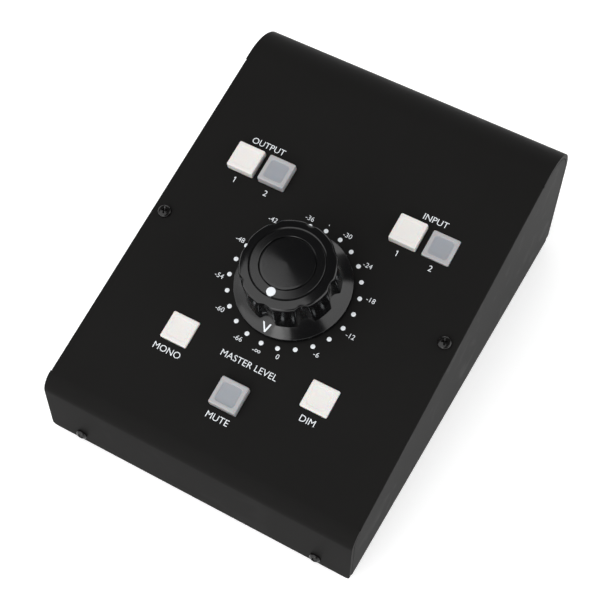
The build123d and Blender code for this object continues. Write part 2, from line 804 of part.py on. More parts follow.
def skirt_band(depth, proud):
    """A ring that follows the skirt's slope, from depth below its surface to proud above it."""
    with BuildPart() as band:
        with BuildSketch(turning):
            with BuildLine():
                Polyline(
                    (skirt_radius - skirt_edge, skirt_rim - depth),
                    (skirt_radius - skirt_edge, skirt_rim + proud),
                    (grip_base_radius, grip_base_height + proud),
                    (grip_base_radius, grip_base_height - depth),
                    close=True,
                )
            make_face()
        revolve(axis=knob_axis)
    return band.part


with BuildPart() as knob_pointer:
    half = pointer_width / 2
    slant = pointer_stroke * math.hypot(half, pointer_length) / pointer_length
    with BuildSketch(panel):
        with BuildLine():
            Polyline(
                (-half, -pointer_start),
                (-half + slant, -pointer_start),
                (0, -pointer_start - pointer_length + slant * pointer_length / half / 2),
                (half - slant, -pointer_start),
                (half, -pointer_start),
                (slant / 2, -pointer_start - pointer_length),
                (-slant / 2, -pointer_start - pointer_length),
                close=True,
            )
        make_face()
    extrude(amount=2 * grip_base_height)
    add(skirt_band(pointer_depth, pointer_proud), mode=Mode.INTERSECT)
keep(knob_pointer, "knob_pointer")

with BuildPart() as knob_body:
    # The fluted grip, drawn in towards its top, at first longer at both ends than it will be.
    for height in (knob_clearance, knob_height):
        outline_radius = grip_base_radius - grip_taper * (height - grip_base_height)
        cut = flute_depth - flute_taper * (height - grip_base_height)
        with BuildSketch(panel.offset(height)) as grip:
            Circle(outline_radius)
            with PolarLocations(outline_radius + flute_radius - cut, flute_count):
                Circle(flute_radius, mode=Mode.SUBTRACT)
            fillet(grip.vertices(), radius=flute_edge)
    loft(ruled=True)
    # The crown: a rounded shoulder up to a groove, and the seat of the disc inside the ring.
    with BuildSketch(turning):
        with BuildLine():
            Line((skirt_radius, grip_top_height), (grip_top_radius, grip_top_height))
            TangentArc((grip_top_radius, grip_top_height), shoulder, tangent=(-grip_taper, 1))
            Polyline(
                shoulder,
                (crown_radius, crown_height),
                (crown_radius, crown_height - groove_depth),
                (groove_inner, crown_height - groove_depth),
                (groove_inner, ring_height - ring_fall),
                (disc_radius + groove_width, ring_height),
                (disc_radius + groove_width, disc_seat),
                (0, disc_seat),
                (0, 2 * knob_height),
                (skirt_radius, 2 * knob_height),
                (skirt_radius, grip_top_height),
            )
        make_face()
    revolve(axis=knob_axis, mode=Mode.SUBTRACT)
    # The skirt, whose slope runs on into the flutes and closes them below.
    with BuildSketch(turning):
        with BuildLine():
            Polyline(
                (0, knob_clearance),
                (skirt_radius, knob_clearance),
                (skirt_radius, skirt_rim - skirt_edge),
                (skirt_radius - skirt_edge, skirt_rim),
                (skirt_top_radius, skirt_top_height),
                (0, skirt_top_height),
                close=True,
            )
        make_face()
    revolve(axis=knob_axis)
    # The hollow over the nut, and the blind bore for the shaft.
    with BuildSketch(panel):
        Circle(recess_radius)
    extrude(amount=recess_height, mode=Mode.SUBTRACT)
    with BuildSketch(panel):
        Circle(shaft_radius + shaft_bore_gap)
    extrude(amount=bore_end, mode=Mode.SUBTRACT)
    for angle in set_screw_angles:
        with BuildSketch(on_knob(angle, 0, set_screw_height)):
            Circle(set_screw_radius + thread_gap)
        extrude(amount=skirt_radius, mode=Mode.SUBTRACT)
    with BuildSketch(panel.offset(ring_height - dot_depth)):
        with Locations((0, -dot_place)):
            Circle(dot_radius)
    extrude(amount=knob_height, mode=Mode.SUBTRACT)
    add(knob_pointer.part, mode=Mode.SUBTRACT)
keep(knob_body, "knob_body")

with BuildPart() as knob_disc:
    with BuildSketch(turning):
        with BuildLine():
            Line((0, disc_seat), (disc_radius, disc_seat))
            Line((disc_radius, disc_seat), (disc_radius, knob_height - disc_dome))
            TangentArc((0, knob_height), (disc_radius, knob_height - disc_dome), tangent=(1, 0))
            Line((0, knob_height), (0, disc_seat))
        make_face()
    revolve(axis=knob_axis)
    with BuildSketch(panel.offset(disc_seat)):
        with Locations((0, -dot_place)):
            Circle(dot_radius)
    extrude(amount=disc_thickness + knob_height, mode=Mode.SUBTRACT)
keep(knob_disc, "knob_disc")

with BuildPart() as knob_dot:
    with BuildSketch(panel.offset(ring_height - dot_depth)):
        with Locations((0, -dot_place)):
            Circle(dot_radius)
    extrude(amount=dot_depth + dot_proud)
    fillet(knob_dot.faces().sort_by(knob_axis)[-1].edges(), radius=dot_proud)
keep(knob_dot, "knob_dot")

with BuildPart() as knob_set_screws:
    for index, angle in enumerate(set_screw_angles):
        seat = shaft_radius - (shaft_flat if index == 0 else 0) + thread_gap
        with BuildSketch(on_knob(angle, seat, set_screw_height)):
            Circle(set_screw_radius)
        extrude(amount=set_screw_length)
        with BuildSketch(on_knob(angle, seat + set_screw_length, set_screw_height)):
            RegularPolygon(set_screw_socket, 6, major_radius=False)
        extrude(amount=-set_screw_length / 2, mode=Mode.SUBTRACT)
keep(knob_set_screws, "knob_set_screws")

# ------------------------------------------------------------------ jacks and rear board


def jacks(places):
    """Panel jacks: a square body behind the rear wall and a threaded bushing through it."""
    with BuildPart() as group:
        with BuildSketch(rear_wall.offset(-sheet)):
            with Locations(*places):
                RectangleRounded(jack_body_size, jack_body_size, jack_body_corner)
        extrude(amount=-jack_body_depth)
        with BuildSketch(rear_wall.offset(-sheet)):
            with Locations(*places):
                Circle(jack_bushing_radius)
        extrude(amount=sheet + jack_reach)
        with BuildSketch(rear_wall.offset(jack_reach)):
            with Locations(*places):
                Circle(jack_bore_radius)
        extrude(amount=-(jack_reach + sheet + jack_body_depth - jack_bore_end), mode=Mode.SUBTRACT)
    return group


input_jacks = jacks(input_places)
keep(input_jacks, "input_jacks")
output_jacks = jacks(output_places)
keep(output_jacks, "output_jacks")

with BuildPart() as jack_washers:
    with BuildSketch(rear_wall):
        with Locations(*input_places, *output_places):
            Circle(jack_washer_radius)
            Circle(jack_bushing_radius + thread_gap, mode=Mode.SUBTRACT)
    extrude(amount=jack_washer_thickness)
keep(jack_washers, "jack_washers")

with BuildPart() as jack_nuts:
    with BuildSketch(rear_wall.offset(jack_washer_thickness)):
        with Locations(*input_places, *output_places):
            RegularPolygon(jack_nut_flats / 2, 6, major_radius=False)
            Circle(jack_bushing_radius + thread_gap, mode=Mode.SUBTRACT)
    extrude(amount=jack_nut_thickness)
keep(jack_nuts, "jack_nuts")

rear_board_face = rear_wall.offset(-sheet - jack_body_depth)
rear_header_face = rear_board_face.offset(-board_sheet)
jack_field_width = jack_columns[-1] - jack_columns[0] + jack_body_size
jack_field_height = jack_pitch_z + jack_body_size

with BuildPart() as rear_board:
    with BuildSketch(rear_board_face):
        with Locations((0, jack_low_height + jack_pitch_z / 2)):
            Rectangle(jack_field_width + 2 * rear_board_margin, jack_field_height + 2 * rear_board_margin)
    extrude(amount=-board_sheet)
keep(rear_board, "rear_board")

with BuildPart() as board_headers:
    with BuildSketch(board_under):
        with Locations((0, -header_v)):
            Rectangle(header_width, header_depth)
    extrude(amount=header_height)
    with BuildSketch(rear_header_face):
        with Locations((0, rear_header_height)):
            Rectangle(header_width, header_depth)
    extrude(amount=-header_height)
keep(board_headers, "board_headers")

# The ribbon leaves the main board's plug towards the rear, turns down and enters the other
# plug from above. Each plug is a block on its header, with the ribbon ending at its side.
ribbon_start = panel.from_local_coords((0, ribbon_start_v, -ribbon_drop))
ribbon_corner_z = ribbon_start.Z + ribbon_run * slope
ribbon_end_z = base_z + rear_header_height + header_depth / 2
ribbon_width = header_width - 2 * ribbon_side_gap

with BuildPart() as ribbon_cable:
    with BuildSketch(Plane.YZ):
        with BuildLine() as ribbon_path:
            FilletPolyline(
                (ribbon_start.Y, ribbon_start.Z),
                (ribbon_end_y, ribbon_corner_z),
                (ribbon_end_y, ribbon_end_z),
                radius=ribbon_bend,
            )
        trace(line_width=ribbon_thickness)
    extrude(amount=ribbon_width / 2, both=True)
    with BuildSketch(board_under.offset(header_height)):
        with Locations((0, -header_v)):
            Rectangle(header_width, header_depth)
    extrude(amount=header_height)
    with BuildSketch(rear_header_face.offset(-header_height)):
        with Locations((0, rear_header_height)):
            Rectangle(header_width, header_depth)
    extrude(amount=-header_height)
keep(ribbon_cable, "ribbon_cable")
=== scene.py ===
"""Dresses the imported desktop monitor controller: a folded steel wedge with a fluted volume knob.

Lengths are in millimetres and become metres when a mesh is made; only the studio and the places of
the walls are in metres. Pieces of the sloping panel are drawn in the panel's own frame: x to the
right, y up the slope, z out of it, with its origin where the knob's axis meets the panel.
"""

import json
import logging
import math
from collections.abc import Sequence
from dataclasses import dataclass, field
from enum import Enum

import bmesh
import bpy
from mathutils import Matrix, Vector


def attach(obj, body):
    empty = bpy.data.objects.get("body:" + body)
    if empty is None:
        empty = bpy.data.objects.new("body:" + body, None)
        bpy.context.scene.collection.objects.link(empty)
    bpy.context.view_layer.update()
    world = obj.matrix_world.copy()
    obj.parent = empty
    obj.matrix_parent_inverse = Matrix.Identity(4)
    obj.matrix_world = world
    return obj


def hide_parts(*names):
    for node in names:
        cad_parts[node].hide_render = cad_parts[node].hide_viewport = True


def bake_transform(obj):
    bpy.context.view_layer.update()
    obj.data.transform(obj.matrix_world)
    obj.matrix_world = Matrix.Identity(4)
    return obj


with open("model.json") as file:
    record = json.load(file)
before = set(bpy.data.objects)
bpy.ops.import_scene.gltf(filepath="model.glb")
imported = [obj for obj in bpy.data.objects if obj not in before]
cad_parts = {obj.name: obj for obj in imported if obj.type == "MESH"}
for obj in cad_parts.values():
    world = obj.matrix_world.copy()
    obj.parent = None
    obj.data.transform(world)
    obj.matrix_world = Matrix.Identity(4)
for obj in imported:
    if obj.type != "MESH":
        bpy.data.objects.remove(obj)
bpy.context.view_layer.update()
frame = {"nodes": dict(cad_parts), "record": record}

log = logging.getLogger("controller")
MM = 0.001
Point = tuple[float, float, float]
Loop = list[Point]
Colour = tuple[float, float, float]


def shift(x: float, y: float, z: float) -> Matrix:
    """A move by millimetres."""
    return Matrix.Translation(Vector((x, y, z)) * MM)


def forward(reach: float) -> Matrix:
    """A move from the knob's axis towards the front of the panel, by millimetres."""
    return Matrix.Translation((0, -reach * MM, 0))


def turn(degrees: float, axis: str) -> Matrix:
    """A turn about one of the main axes."""
    return Matrix.Rotation(math.radians(degrees), 4, axis)


TILT = 13.4
WALL_FOOT = 0.003
PANEL = Matrix.Translation((0, -0.0181, 0.056683)) @ turn(TILT, "X")
FRONT = Matrix.Translation((0, -0.1003, WALL_FOOT)) @ turn(90, "X")
REAR = Matrix.Translation((0, 0.0979, WALL_FOOT)) @ turn(180, "Z") @ turn(90, "X")


# ---------------------------------------------------------------------------- nodes
class NodeSketch:
    """Adds nodes to one tree and links them, so that a tree reads as a list of steps."""

    def __init__(self, tree: bpy.types.NodeTree) -> None:
        """Keeps the tree that the nodes go into."""
        self.tree = tree

    def feed(self, node: bpy.types.Node, inputs: dict) -> None:
        """Gives a node its inputs.

        Args:
            node: the node.
            inputs: socket name or number to a value, or to a socket that is linked to it.
        """
        for name, value in inputs.items():
            if isinstance(value, bpy.types.NodeSocket):
                self.tree.links.new(value, node.inputs[name])
            else:
                node.inputs[name].default_value = value

    def add(self, kind: str, inputs: dict | None = None, **settings: object) -> bpy.types.Node:
        """Adds one node.

        Args:
            kind: the node's type name.
            inputs: its inputs, as feed() takes them.
            **settings: properties of the node, set before its inputs.

        Returns:
            The new node.
        """
        node = self.tree.nodes.new(kind)
        for name, value in settings.items():
            setattr(node, name, value)
        self.feed(node, inputs or {})
        return node

    def math(self, operation: str, *values: object) -> bpy.types.NodeSocket:
        """Adds a Math node and returns its result."""
        return self.add("ShaderNodeMath", dict(enumerate(values)), operation=operation).outputs[0]

    def blend(self, share: object, low: object, high: object) -> bpy.types.NodeSocket:
        """Mixes two colours by a share from 0 to 1 and returns the mixed colour."""
        return self.add("ShaderNodeMix", {0: share, 6: low, 7: high}, data_type="RGBA").outputs[2]

    def spread(self, mask: object, low: float, high: float) -> bpy.types.NodeSocket:
        """Maps a mask from 0 to 1 onto a range and returns the result."""
        return self.add("ShaderNodeMapRange", {0: mask, 3: low, 4: high}).outputs[0]

    def window(self, value: object, low: float, high: float) -> bpy.types.NodeSocket:
        """Maps a range onto a mask from 0 to 1 and returns the mask."""
        return self.add("ShaderNodeMapRange", {0: value, 1: low, 2: high}).outputs[0]


def rgba(colour: Colour, factor: float = 1.0) -> tuple[float, float, float, float]:
    """A colour as the four numbers that a colour socket takes, brightened by a factor."""
    return (colour[0] * factor, colour[1] * factor, colour[2] * factor, 1.0)


class EffectGroups:
    """The shader effects that several finishes share, each built once as a node group."""

    SMUDGE_SCALE = 2.3
    SMUDGE_EDGES = (0.56, 0.74)
    DRAWN_OUT = (0.04, 1.0, 1.0)

    def __init__(self) -> None:
        """Builds the groups."""
        self.grain = self.build_grain()
        self.brushing = self.build_brushing()

    @staticmethod
    def start(name: str, inputs: dict[str, float]) -> tuple[NodeSketch, object]:
        """Starts a group with float inputs.

        Args:
            name: the group's name.
            inputs: input names with their defaults.

        Returns:
            A sketch on the group's tree, and the sockets that give the inputs.
        """
        tree = bpy.data.node_groups.new(name, "ShaderNodeTree")
        for label, value in inputs.items():
            socket = tree.interface.new_socket(label, in_out="INPUT", socket_type="NodeSocketFloat")
            socket.default_value = value
        sketch = NodeSketch(tree)
        return sketch, sketch.add("NodeGroupInput").outputs

    @staticmethod
    def close(sketch: NodeSketch, results: dict[str, bpy.types.NodeSocket]) -> bpy.types.NodeTree:
        """Ends a group with float outputs.

        Args:
            sketch: the sketch on the group's tree.
            results: output names with the sockets that feed them.

        Returns:
            The group's tree.
        """
        for label in results:
            sketch.tree.interface.new_socket(label, in_out="OUTPUT", socket_type="NodeSocketFloat")
        sketch.add("NodeGroupOutput", results)
        return sketch.tree

    def build_grain(self) -> bpy.types.NodeTree:
        """Fine grain for a bump, broad clouds for tone, and sparse smudges from handling.

        Returns:
            The group's tree.
        """
        sketch, given = self.start("surface_grain", {"Grain Scale": 2500.0, "Cloud Scale": 25.0})
        place = sketch.add("ShaderNodeTexCoord").outputs["Object"]
        kinds = {
            "Grain": {"Scale": given["Grain Scale"], "Detail": 3.0, "Roughness": 0.55},
            "Cloud": {"Scale": given["Cloud Scale"], "Detail": 4.0, "Roughness": 0.6},
            "Smudge": {
                "Scale": sketch.math("MULTIPLY", given["Cloud Scale"], self.SMUDGE_SCALE),
                "Detail": 2.0,
                "Distortion": 1.2,
            },
        }
        results = {}
        for label, inputs in kinds.items():
            noise = sketch.add("ShaderNodeTexNoise", {"Vector": place, **inputs})
            results[label] = noise.outputs[0]
        results["Smudge"] = sketch.window(results["Smudge"], *self.SMUDGE_EDGES)
        return self.close(sketch, results)

    def build_brushing(self) -> bpy.types.NodeTree:
        """Fine lines along X, for drawn and turned metal, and a broad stain.

        Returns:
            The group's tree.
        """
        sketch, given = self.start("brushing", {"Line Scale": 3000.0})
        place = sketch.add("ShaderNodeTexCoord").outputs["Object"]
        drawn = sketch.add("ShaderNodeMapping", {"Vector": place, "Scale": self.DRAWN_OUT}).outputs[0]
        lines = {"Vector": drawn, "Scale": given["Line Scale"], "Detail": 2.0}
        stain = {"Vector": place, "Scale": 180.0, "Detail": 3.0}
        results = {
            "Lines": sketch.add("ShaderNodeTexNoise", lines).outputs[0],
            "Stain": sketch.add("ShaderNodeTexNoise", stain).outputs[0],
        }
        return self.close(sketch, results)


# ---------------------------------------------------------------------------- finishes
class Finish:
    """A material that is built once, on first use."""

    def material(self, name: str, effects: EffectGroups) -> bpy.types.Material:
        """Builds the material.

        Args:
            name: the material's name.
            effects: the shared node groups.

        Returns:
            The node-based material.
        """
        made = bpy.data.materials.new(name)
        made.use_nodes = True
        sketch = NodeSketch(made.node_tree)
        sketch.feed(made.node_tree.nodes["Principled BSDF"], self.looks(sketch, effects))
        return made

    def looks(self, sketch: NodeSketch, effects: EffectGroups) -> dict[str, object]:
        """Works out what goes into the shader.

        Args:
            sketch: the sketch on the material's tree.
            effects: the shared node groups.

        Returns:
            The shader's socket names, each with its value or the socket that feeds it.
        """
        raise NotImplementedError

    @staticmethod
    def bump(
        sketch: NodeSketch, height: bpy.types.NodeSocket, strength: float, depth: float
    ) -> bpy.types.NodeSocket:
        """Turns a height into a normal.

        Args:
            sketch: the sketch on the material's tree.
            height: the height, from 0 to 1.
            strength: how strongly it shows, from 0 to 1.
            depth: what a height of 1 stands for, in millimetres.

        Returns:
            The normal.
        """
        inputs = {"Height": height, "Strength": strength, "Distance": depth * MM}
        return sketch.add("ShaderNodeBump", inputs).outputs[0]


@dataclass(frozen=True)
class Coating(Finish):
    """Powder coat, lacquer, moulded plastic or rubber: one pigment with grain and handling marks."""

    colour: Colour
    roughness: float
    specular: float = 0.5
    roughness_spread: float = 0.06
    tone_spread: float = 0.10
    grain_scale: float = 2500.0
    grain_depth: float = 0.01
    grain_strength: float = 0.3
    cloud_scale: float = 25.0
    glow: float = 0.0
    glow_depth: float = 0.5

    def looks(self, sketch: NodeSketch, effects: EffectGroups) -> dict[str, object]:
        """Works out what goes into the shader.

        Args:
            sketch: the sketch on the material's tree.
            effects: the shared node groups.

        Returns:
            The shader's socket names, each with its value or the socket that feeds it.
        """
        scales = {"Grain Scale": self.grain_scale, "Cloud Scale": self.cloud_scale}
        marks = sketch.add("ShaderNodeGroup", scales, node_tree=effects.grain).outputs
        dark = rgba(self.colour, 1.0 - self.tone_spread)
        pale = rgba(self.colour, 1.0 + self.tone_spread)
        rubbed = self.roughness - self.roughness_spread
        looks = {
            "Base Color": sketch.blend(marks["Cloud"], dark, pale),
            "Roughness": sketch.spread(marks["Smudge"], self.roughness, rubbed),
            "Specular IOR Level": self.specular,
            "Normal": self.bump(sketch, marks["Grain"], self.grain_strength, self.grain_depth),
        }
        if self.glow:
            looks |= {"Subsurface Weight": self.glow, "Subsurface Scale": self.glow_depth * MM}
        return looks


@dataclass(frozen=True)
class Metal(Finish):
    """Plated, drawn or turned metal with fine lines and a faint stain."""

    colour: Colour
    roughness: float
    line_scale: float = 3000.0
    line_depth: float = 0.004
    line_strength: float = 0.25
    smoothest: float = 0.75
    roughest: float = 1.3
    stain: float = 0.86

    def looks(self, sketch: NodeSketch, effects: EffectGroups) -> dict[str, object]:
        """Works out what goes into the shader.

        Args:
            sketch: the sketch on the material's tree.
            effects: the shared node groups.

        Returns:
            The shader's socket names, each with its value or the socket that feeds it.
        """
        scales = {"Line Scale": self.line_scale}
        marks = sketch.add("ShaderNodeGroup", scales, node_tree=effects.brushing).outputs
        smooth, rough = self.roughness * self.smoothest, self.roughness * self.roughest
        return {
            "Metallic": 1.0,
            "Base Color": sketch.blend(marks["Stain"], rgba(self.colour, self.stain), rgba(self.colour)),
            "Roughness": sketch.spread(marks["Lines"], smooth, rough),
            "Normal": self.bump(sketch, marks["Lines"], self.line_strength, self.line_depth),
        }


@dataclass(frozen=True)
class DishedCap(Finish):
    """Translucent cap plastic whose dish, marked by the attribute "dish", may differ from its rim."""

    rim: Colour
    dish: Colour
    roughness: float = 0.36
    roughness_spread: float = 0.1
    soil: float = 0.16
    soil_tone: float = 0.82
    glow: float = 0.25
    glow_depth: float = 0.6
    grain_scale: float = 1800.0
    grain_depth: float = 0.01
    grain_strength: float = 0.15
    cloud_scale: float = 90.0

    def looks(self, sketch: NodeSketch, effects: EffectGroups) -> dict[str, object]:
        """Works out what goes into the shader.

        Args:
            sketch: the sketch on the material's tree.
            effects: the shared node groups.

        Returns:
            The shader's socket names, each with its value or the socket that feeds it.
        """
        scales = {"Grain Scale": self.grain_scale, "Cloud Scale": self.cloud_scale}
        marks = sketch.add("ShaderNodeGroup", scales, node_tree=effects.grain).outputs
        mask = sketch.add("ShaderNodeAttribute", attribute_name="dish").outputs["Fac"]
        clean = sketch.blend(mask, rgba(self.rim), rgba(self.dish))
        soiled = sketch.spread(marks["Cloud"], 0.0, self.soil)
        rubbed = self.roughness + self.roughness_spread
        return {
            "Base Color": sketch.blend(soiled, clean, rgba(self.rim, self.soil_tone)),
            "Roughness": sketch.spread(marks["Smudge"], self.roughness, rubbed),
            "Subsurface Weight": self.glow,
            "Subsurface Scale": self.glow_depth * MM,
            "Normal": self.bump(sketch, marks["Grain"], self.grain_strength, self.grain_depth),
        }


@dataclass(frozen=True)
class TurnedGloss(Finish):
    """Gloss black plastic, with fine turning lines where a piece carries the attribute "turned"."""

    colour: Colour
    roughness: float
    roughness_spread: float = 0.05
    tone_spread: float = 0.1
    grain_scale: float = 900.0
    grain_share: float = 0.1
    cloud_scale: float = 60.0
    line_pitch: float = 0.5
    line_depth: float = 0.010
    waves_per_scale: float = 20.0

    def looks(self, sketch: NodeSketch, effects: EffectGroups) -> dict[str, object]:
        """Works out what goes into the shader.

        Args:
            sketch: the sketch on the material's tree.
            effects: the shared node groups.

        Returns:
            The shader's socket names, each with its value or the socket that feeds it.
        """
        scales = {"Grain Scale": self.grain_scale, "Cloud Scale": self.cloud_scale}
        marks = sketch.add("ShaderNodeGroup", scales, node_tree=effects.grain).outputs
        dark = rgba(self.colour, 1.0 - self.tone_spread)
        pale = rgba(self.colour, 1.0 + self.tone_spread)
        rubbed = self.roughness - self.roughness_spread
        turned = sketch.add("ShaderNodeAttribute", attribute_name="turned").outputs["Fac"]
        lines = sketch.math("MULTIPLY", self.rings(sketch), turned)
        height = sketch.math("MULTIPLY_ADD", marks["Grain"], self.grain_share, lines)
        return {
            "Base Color": sketch.blend(marks["Cloud"], dark, pale),
            "Roughness": sketch.spread(marks["Smudge"], self.roughness, rubbed),
            "Normal": self.bump(sketch, height, 1.0, self.line_depth),
        }

    def rings(self, sketch: NodeSketch) -> bpy.types.NodeSocket:
        """Rings round the knob's axis.

        Args:
            sketch: the sketch on the material's tree.

        Returns:
            A wave from 0 to 1.
        """
        place = sketch.add("ShaderNodeTexCoord").outputs["Object"]
        panel = {"Vector": place, "Location": PANEL.translation, "Rotation": (math.radians(TILT), 0.0, 0.0)}
        own = sketch.add("ShaderNodeMapping", panel, vector_type="TEXTURE").outputs[0]
        scale = math.tau / (self.waves_per_scale * self.line_pitch * MM)
        inputs = {"Vector": own, "Scale": scale}
        wave = sketch.add("ShaderNodeTexWave", inputs, wave_type="RINGS", rings_direction="Z")
        return wave.outputs["Fac"]


@dataclass(frozen=True)
class BoardLaminate(Finish):
    """Solder mask over tracks and pads, which show as slightly raised paler runs."""

    colour: Colour
    roughness: float = 0.32
    track_scale: float = 330.0
    track_wander: float = 0.55
    track_edges: tuple[float, float] = (0.42, 0.5)
    track_tone: float = 1.9
    track_strength: float = 0.6
    track_depth: float = 0.03
    soil: float = 0.4
    soil_tone: float = 0.6
    grain_scale: float = 900.0

    def looks(self, sketch: NodeSketch, effects: EffectGroups) -> dict[str, object]:
        """Works out what goes into the shader.

        Args:
            sketch: the sketch on the material's tree.
            effects: the shared node groups.

        Returns:
            The shader's socket names, each with its value or the socket that feeds it.
        """
        place = sketch.add("ShaderNodeTexCoord").outputs["Object"]
        inputs = {"Vector": place, "Scale": self.track_scale, "Randomness": self.track_wander}
        cells = sketch.add("ShaderNodeTexVoronoi", inputs, distance="MANHATTAN", feature="F1")
        tracks = sketch.window(cells.outputs["Distance"], *self.track_edges)
        scales = {"Grain Scale": self.grain_scale}
        marks = sketch.add("ShaderNodeGroup", scales, node_tree=effects.grain).outputs
        clean = sketch.blend(tracks, rgba(self.colour), rgba(self.colour, self.track_tone))
        soiled = sketch.spread(marks["Cloud"], 0.0, self.soil)
        return {
            "Base Color": sketch.blend(soiled, clean, rgba(self.colour, self.soil_tone)),
            "Roughness": self.roughness,
            "Normal": self.bump(sketch, tracks, self.track_strength, self.track_depth),
        }


class Slot(Enum):
    """The record's material slots, with the finish that each one wears."""

    case_coat = Coating(
        (0.0122, 0.0119, 0.0116), 0.44, specular=0.016, grain_depth=0.012, tone_spread=0.08
    )
    black_steel = Coating(
        (0.0045, 0.004, 0.004), 0.24, specular=0.42, grain_scale=4000.0, grain_depth=0.004
    )
    foot_rubber = Coating(
        (0.018, 0.018, 0.018), 0.75, specular=0.3, grain_scale=1500.0, grain_depth=0.03
    )
    bright_steel = Metal((0.66, 0.66, 0.65), 0.30)
    nickel = Metal((0.72, 0.70, 0.66), 0.16, line_scale=5000.0, line_depth=0.002)
    brass_part = Metal((0.78, 0.60, 0.30), 0.24)
    frame_metal = Metal((0.62, 0.62, 0.63), 0.42, line_scale=1200.0, line_depth=0.02)
    circuit_board = BoardLaminate((0.010, 0.070, 0.032))
    resistor_body = Coating(
        (0.10, 0.30, 0.46), 0.35, grain_scale=900.0, grain_depth=0.02, cloud_scale=300.0
    )
    switch_plastic = Coating((0.030, 0.030, 0.033), 0.45, grain_depth=0.02)
    plunger_plastic = Coating((0.74, 0.72, 0.66), 0.45, glow=0.35)
    cap_warm_white = DishedCap((0.775, 0.755, 0.73), (0.78, 0.76, 0.735))
    cap_grey = DishedCap((0.42, 0.42, 0.43), (0.30, 0.317, 0.35))
    knob_black = TurnedGloss((0.0035, 0.0035, 0.0038), 0.16)
    marking_white = Coating(
        (0.80, 0.83, 0.86), 0.42, grain_scale=3000.0, grain_depth=0.006, tone_spread=0.04
    )
    jack_plastic = Coating((0.014, 0.014, 0.014), 0.40, grain_scale=2000.0, grain_depth=0.012)
    ribbon_grey = Coating((0.34, 0.35, 0.36), 0.50, grain_scale=800.0, grain_depth=0.03)


class Wardrobe:
    """Hands out the material of each slot, built on first use."""

    def __init__(self) -> None:
        """Builds the shared effects."""
        self.effects = EffectGroups()
        self.made: dict[Slot, bpy.types.Material] = {}

    def wear(self, slot: Slot) -> bpy.types.Material:
        """Finds the material of a slot.

        Args:
            slot: the slot.

        Returns:
            Its material.
        """
        if slot not in self.made:
            self.made[slot] = slot.value.material(slot.name, self.effects)
        return self.made[slot]

    def dress_cad_nodes(self) -> None:
        """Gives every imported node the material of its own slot."""
        for entry in frame["record"]["subparts"]:
            obj = frame["nodes"][entry["node"]]
            obj.data.materials.clear()
            obj.data.materials.append(self.wear(Slot[entry["material_slot"]]))


# ---------------------------------------------------------------------------- outlines
def ring(radius: float, height: float, count: int) -> Loop:
    """A circle of points round the Z axis.

    Args:
        radius: its radius.
        height: where it lies along Z.
        count: how many points it has.

    Returns:
        Its points, anticlockwise seen from above.
    """
    step = math.tau / count
    return [(radius * math.cos(step * k), radius * math.sin(step * k), height) for k in range(count)]


def rounded_square(half: float, corner: float, height: float, steps: int = 6) -> Loop:
    """A square with rounded corners round the Z axis.

    Args:
        half: half of the square's side.
        corner: radius of its corners.
        height: where it lies along Z.
        steps: segments in each corner.

    Returns:
        Its points, anticlockwise seen from above.
    """
    points = []
    for quarter in range(4):
        middle = math.radians(90 * quarter + 45)
        cx = (half - corner) * math.copysign(1, math.cos(middle))
        cy = (half - corner) * math.copysign(1, math.sin(middle))
        for step in range(steps + 1):
            angle = math.radians(90 * quarter + 90 * step / steps)
            points.append((cx + corner * math.cos(angle), cy + corner * math.sin(angle), height))
    return points


def arc(
    centre: tuple[float, float], radius: float, start: float, end: float, steps: int
) -> list[tuple[float, float]]:
    """A circular arc in the plane of radius and height.

    Args:
        centre: its centre.
        radius: its radius.
        start: the angle of its first point, in degrees.
        end: the angle of its last point, in degrees.
        steps: how many segments it has.

    Returns:
        Its points, ends included.
    """
    angles = [math.radians(start + (end - start) * k / steps) for k in range(steps + 1)]
    return [(centre[0] + radius * math.cos(angle), centre[1] + radius * math.sin(angle)) for angle in angles]


# ---------------------------------------------------------------------------- meshes
def link(name: str, data: bpy.types.ID) -> bpy.types.Object:
    """Makes an object of a mesh, curve, lamp or camera and puts it into the scene.

    Args:
        name: the object's name.
        data: what it shows.

    Returns:
        The object.
    """
    obj = bpy.data.objects.new(name, data)
    bpy.context.scene.collection.objects.link(obj)
    return obj


def opened(mesh: bpy.types.Mesh) -> bmesh.types.BMesh:
    """Opens a copy of a mesh for construction.

    Args:
        mesh: the mesh, which stays as it is.

    Returns:
        The mesh under construction.
    """
    work = bmesh.new()
    work.from_mesh(mesh)
    return work


def closed(work: bmesh.types.BMesh, name: str) -> bpy.types.Mesh:
    """Turns a mesh under construction into a mesh.

    Args:
        work: the mesh under construction, which is freed.
        name: the new mesh's name.

    Returns:
        The mesh.
    """
    mesh = bpy.data.meshes.new(name)
    work.to_mesh(mesh)
    work.free()
    return mesh


def skin(loops: Sequence[Loop], joined: bool = False) -> bmesh.types.BMesh:
    """Stretches a skin over loops of equally many points.

    Args:
        loops: the loops in order, so that the skin's outside is outwards.
        joined: whether the last loop joins the first; otherwise both ends are capped.

    Returns:
        The mesh under construction, in metres.
    """
    work = bmesh.new()
    rows = [[work.verts.new(Vector(point) * MM) for point in loop] for loop in loops]
    pairs = list(zip(rows, rows[1:]))
    if joined:
        pairs.append((rows[-1], rows[0]))
    for low, high in pairs:
        for k in range(len(low)):
            after = (k + 1) % len(low)
            work.faces.new((low[k], low[after], high[after], high[k]))
    if not joined:
        work.faces.new(list(reversed(rows[0])))
        work.faces.new(rows[-1])
    return work


def crease(mesh: bpy.types.Mesh, sharp: float) -> None:
    """Shades a mesh smooth, apart from its sharp edges.

    Args:
        mesh: the mesh.
        sharp: the angle in degrees over which an edge is sharp.
    """
    mesh.polygons.foreach_set("use_smooth", [True] * len(mesh.polygons))
    mesh.set_sharp_from_angle(angle=math.radians(sharp))


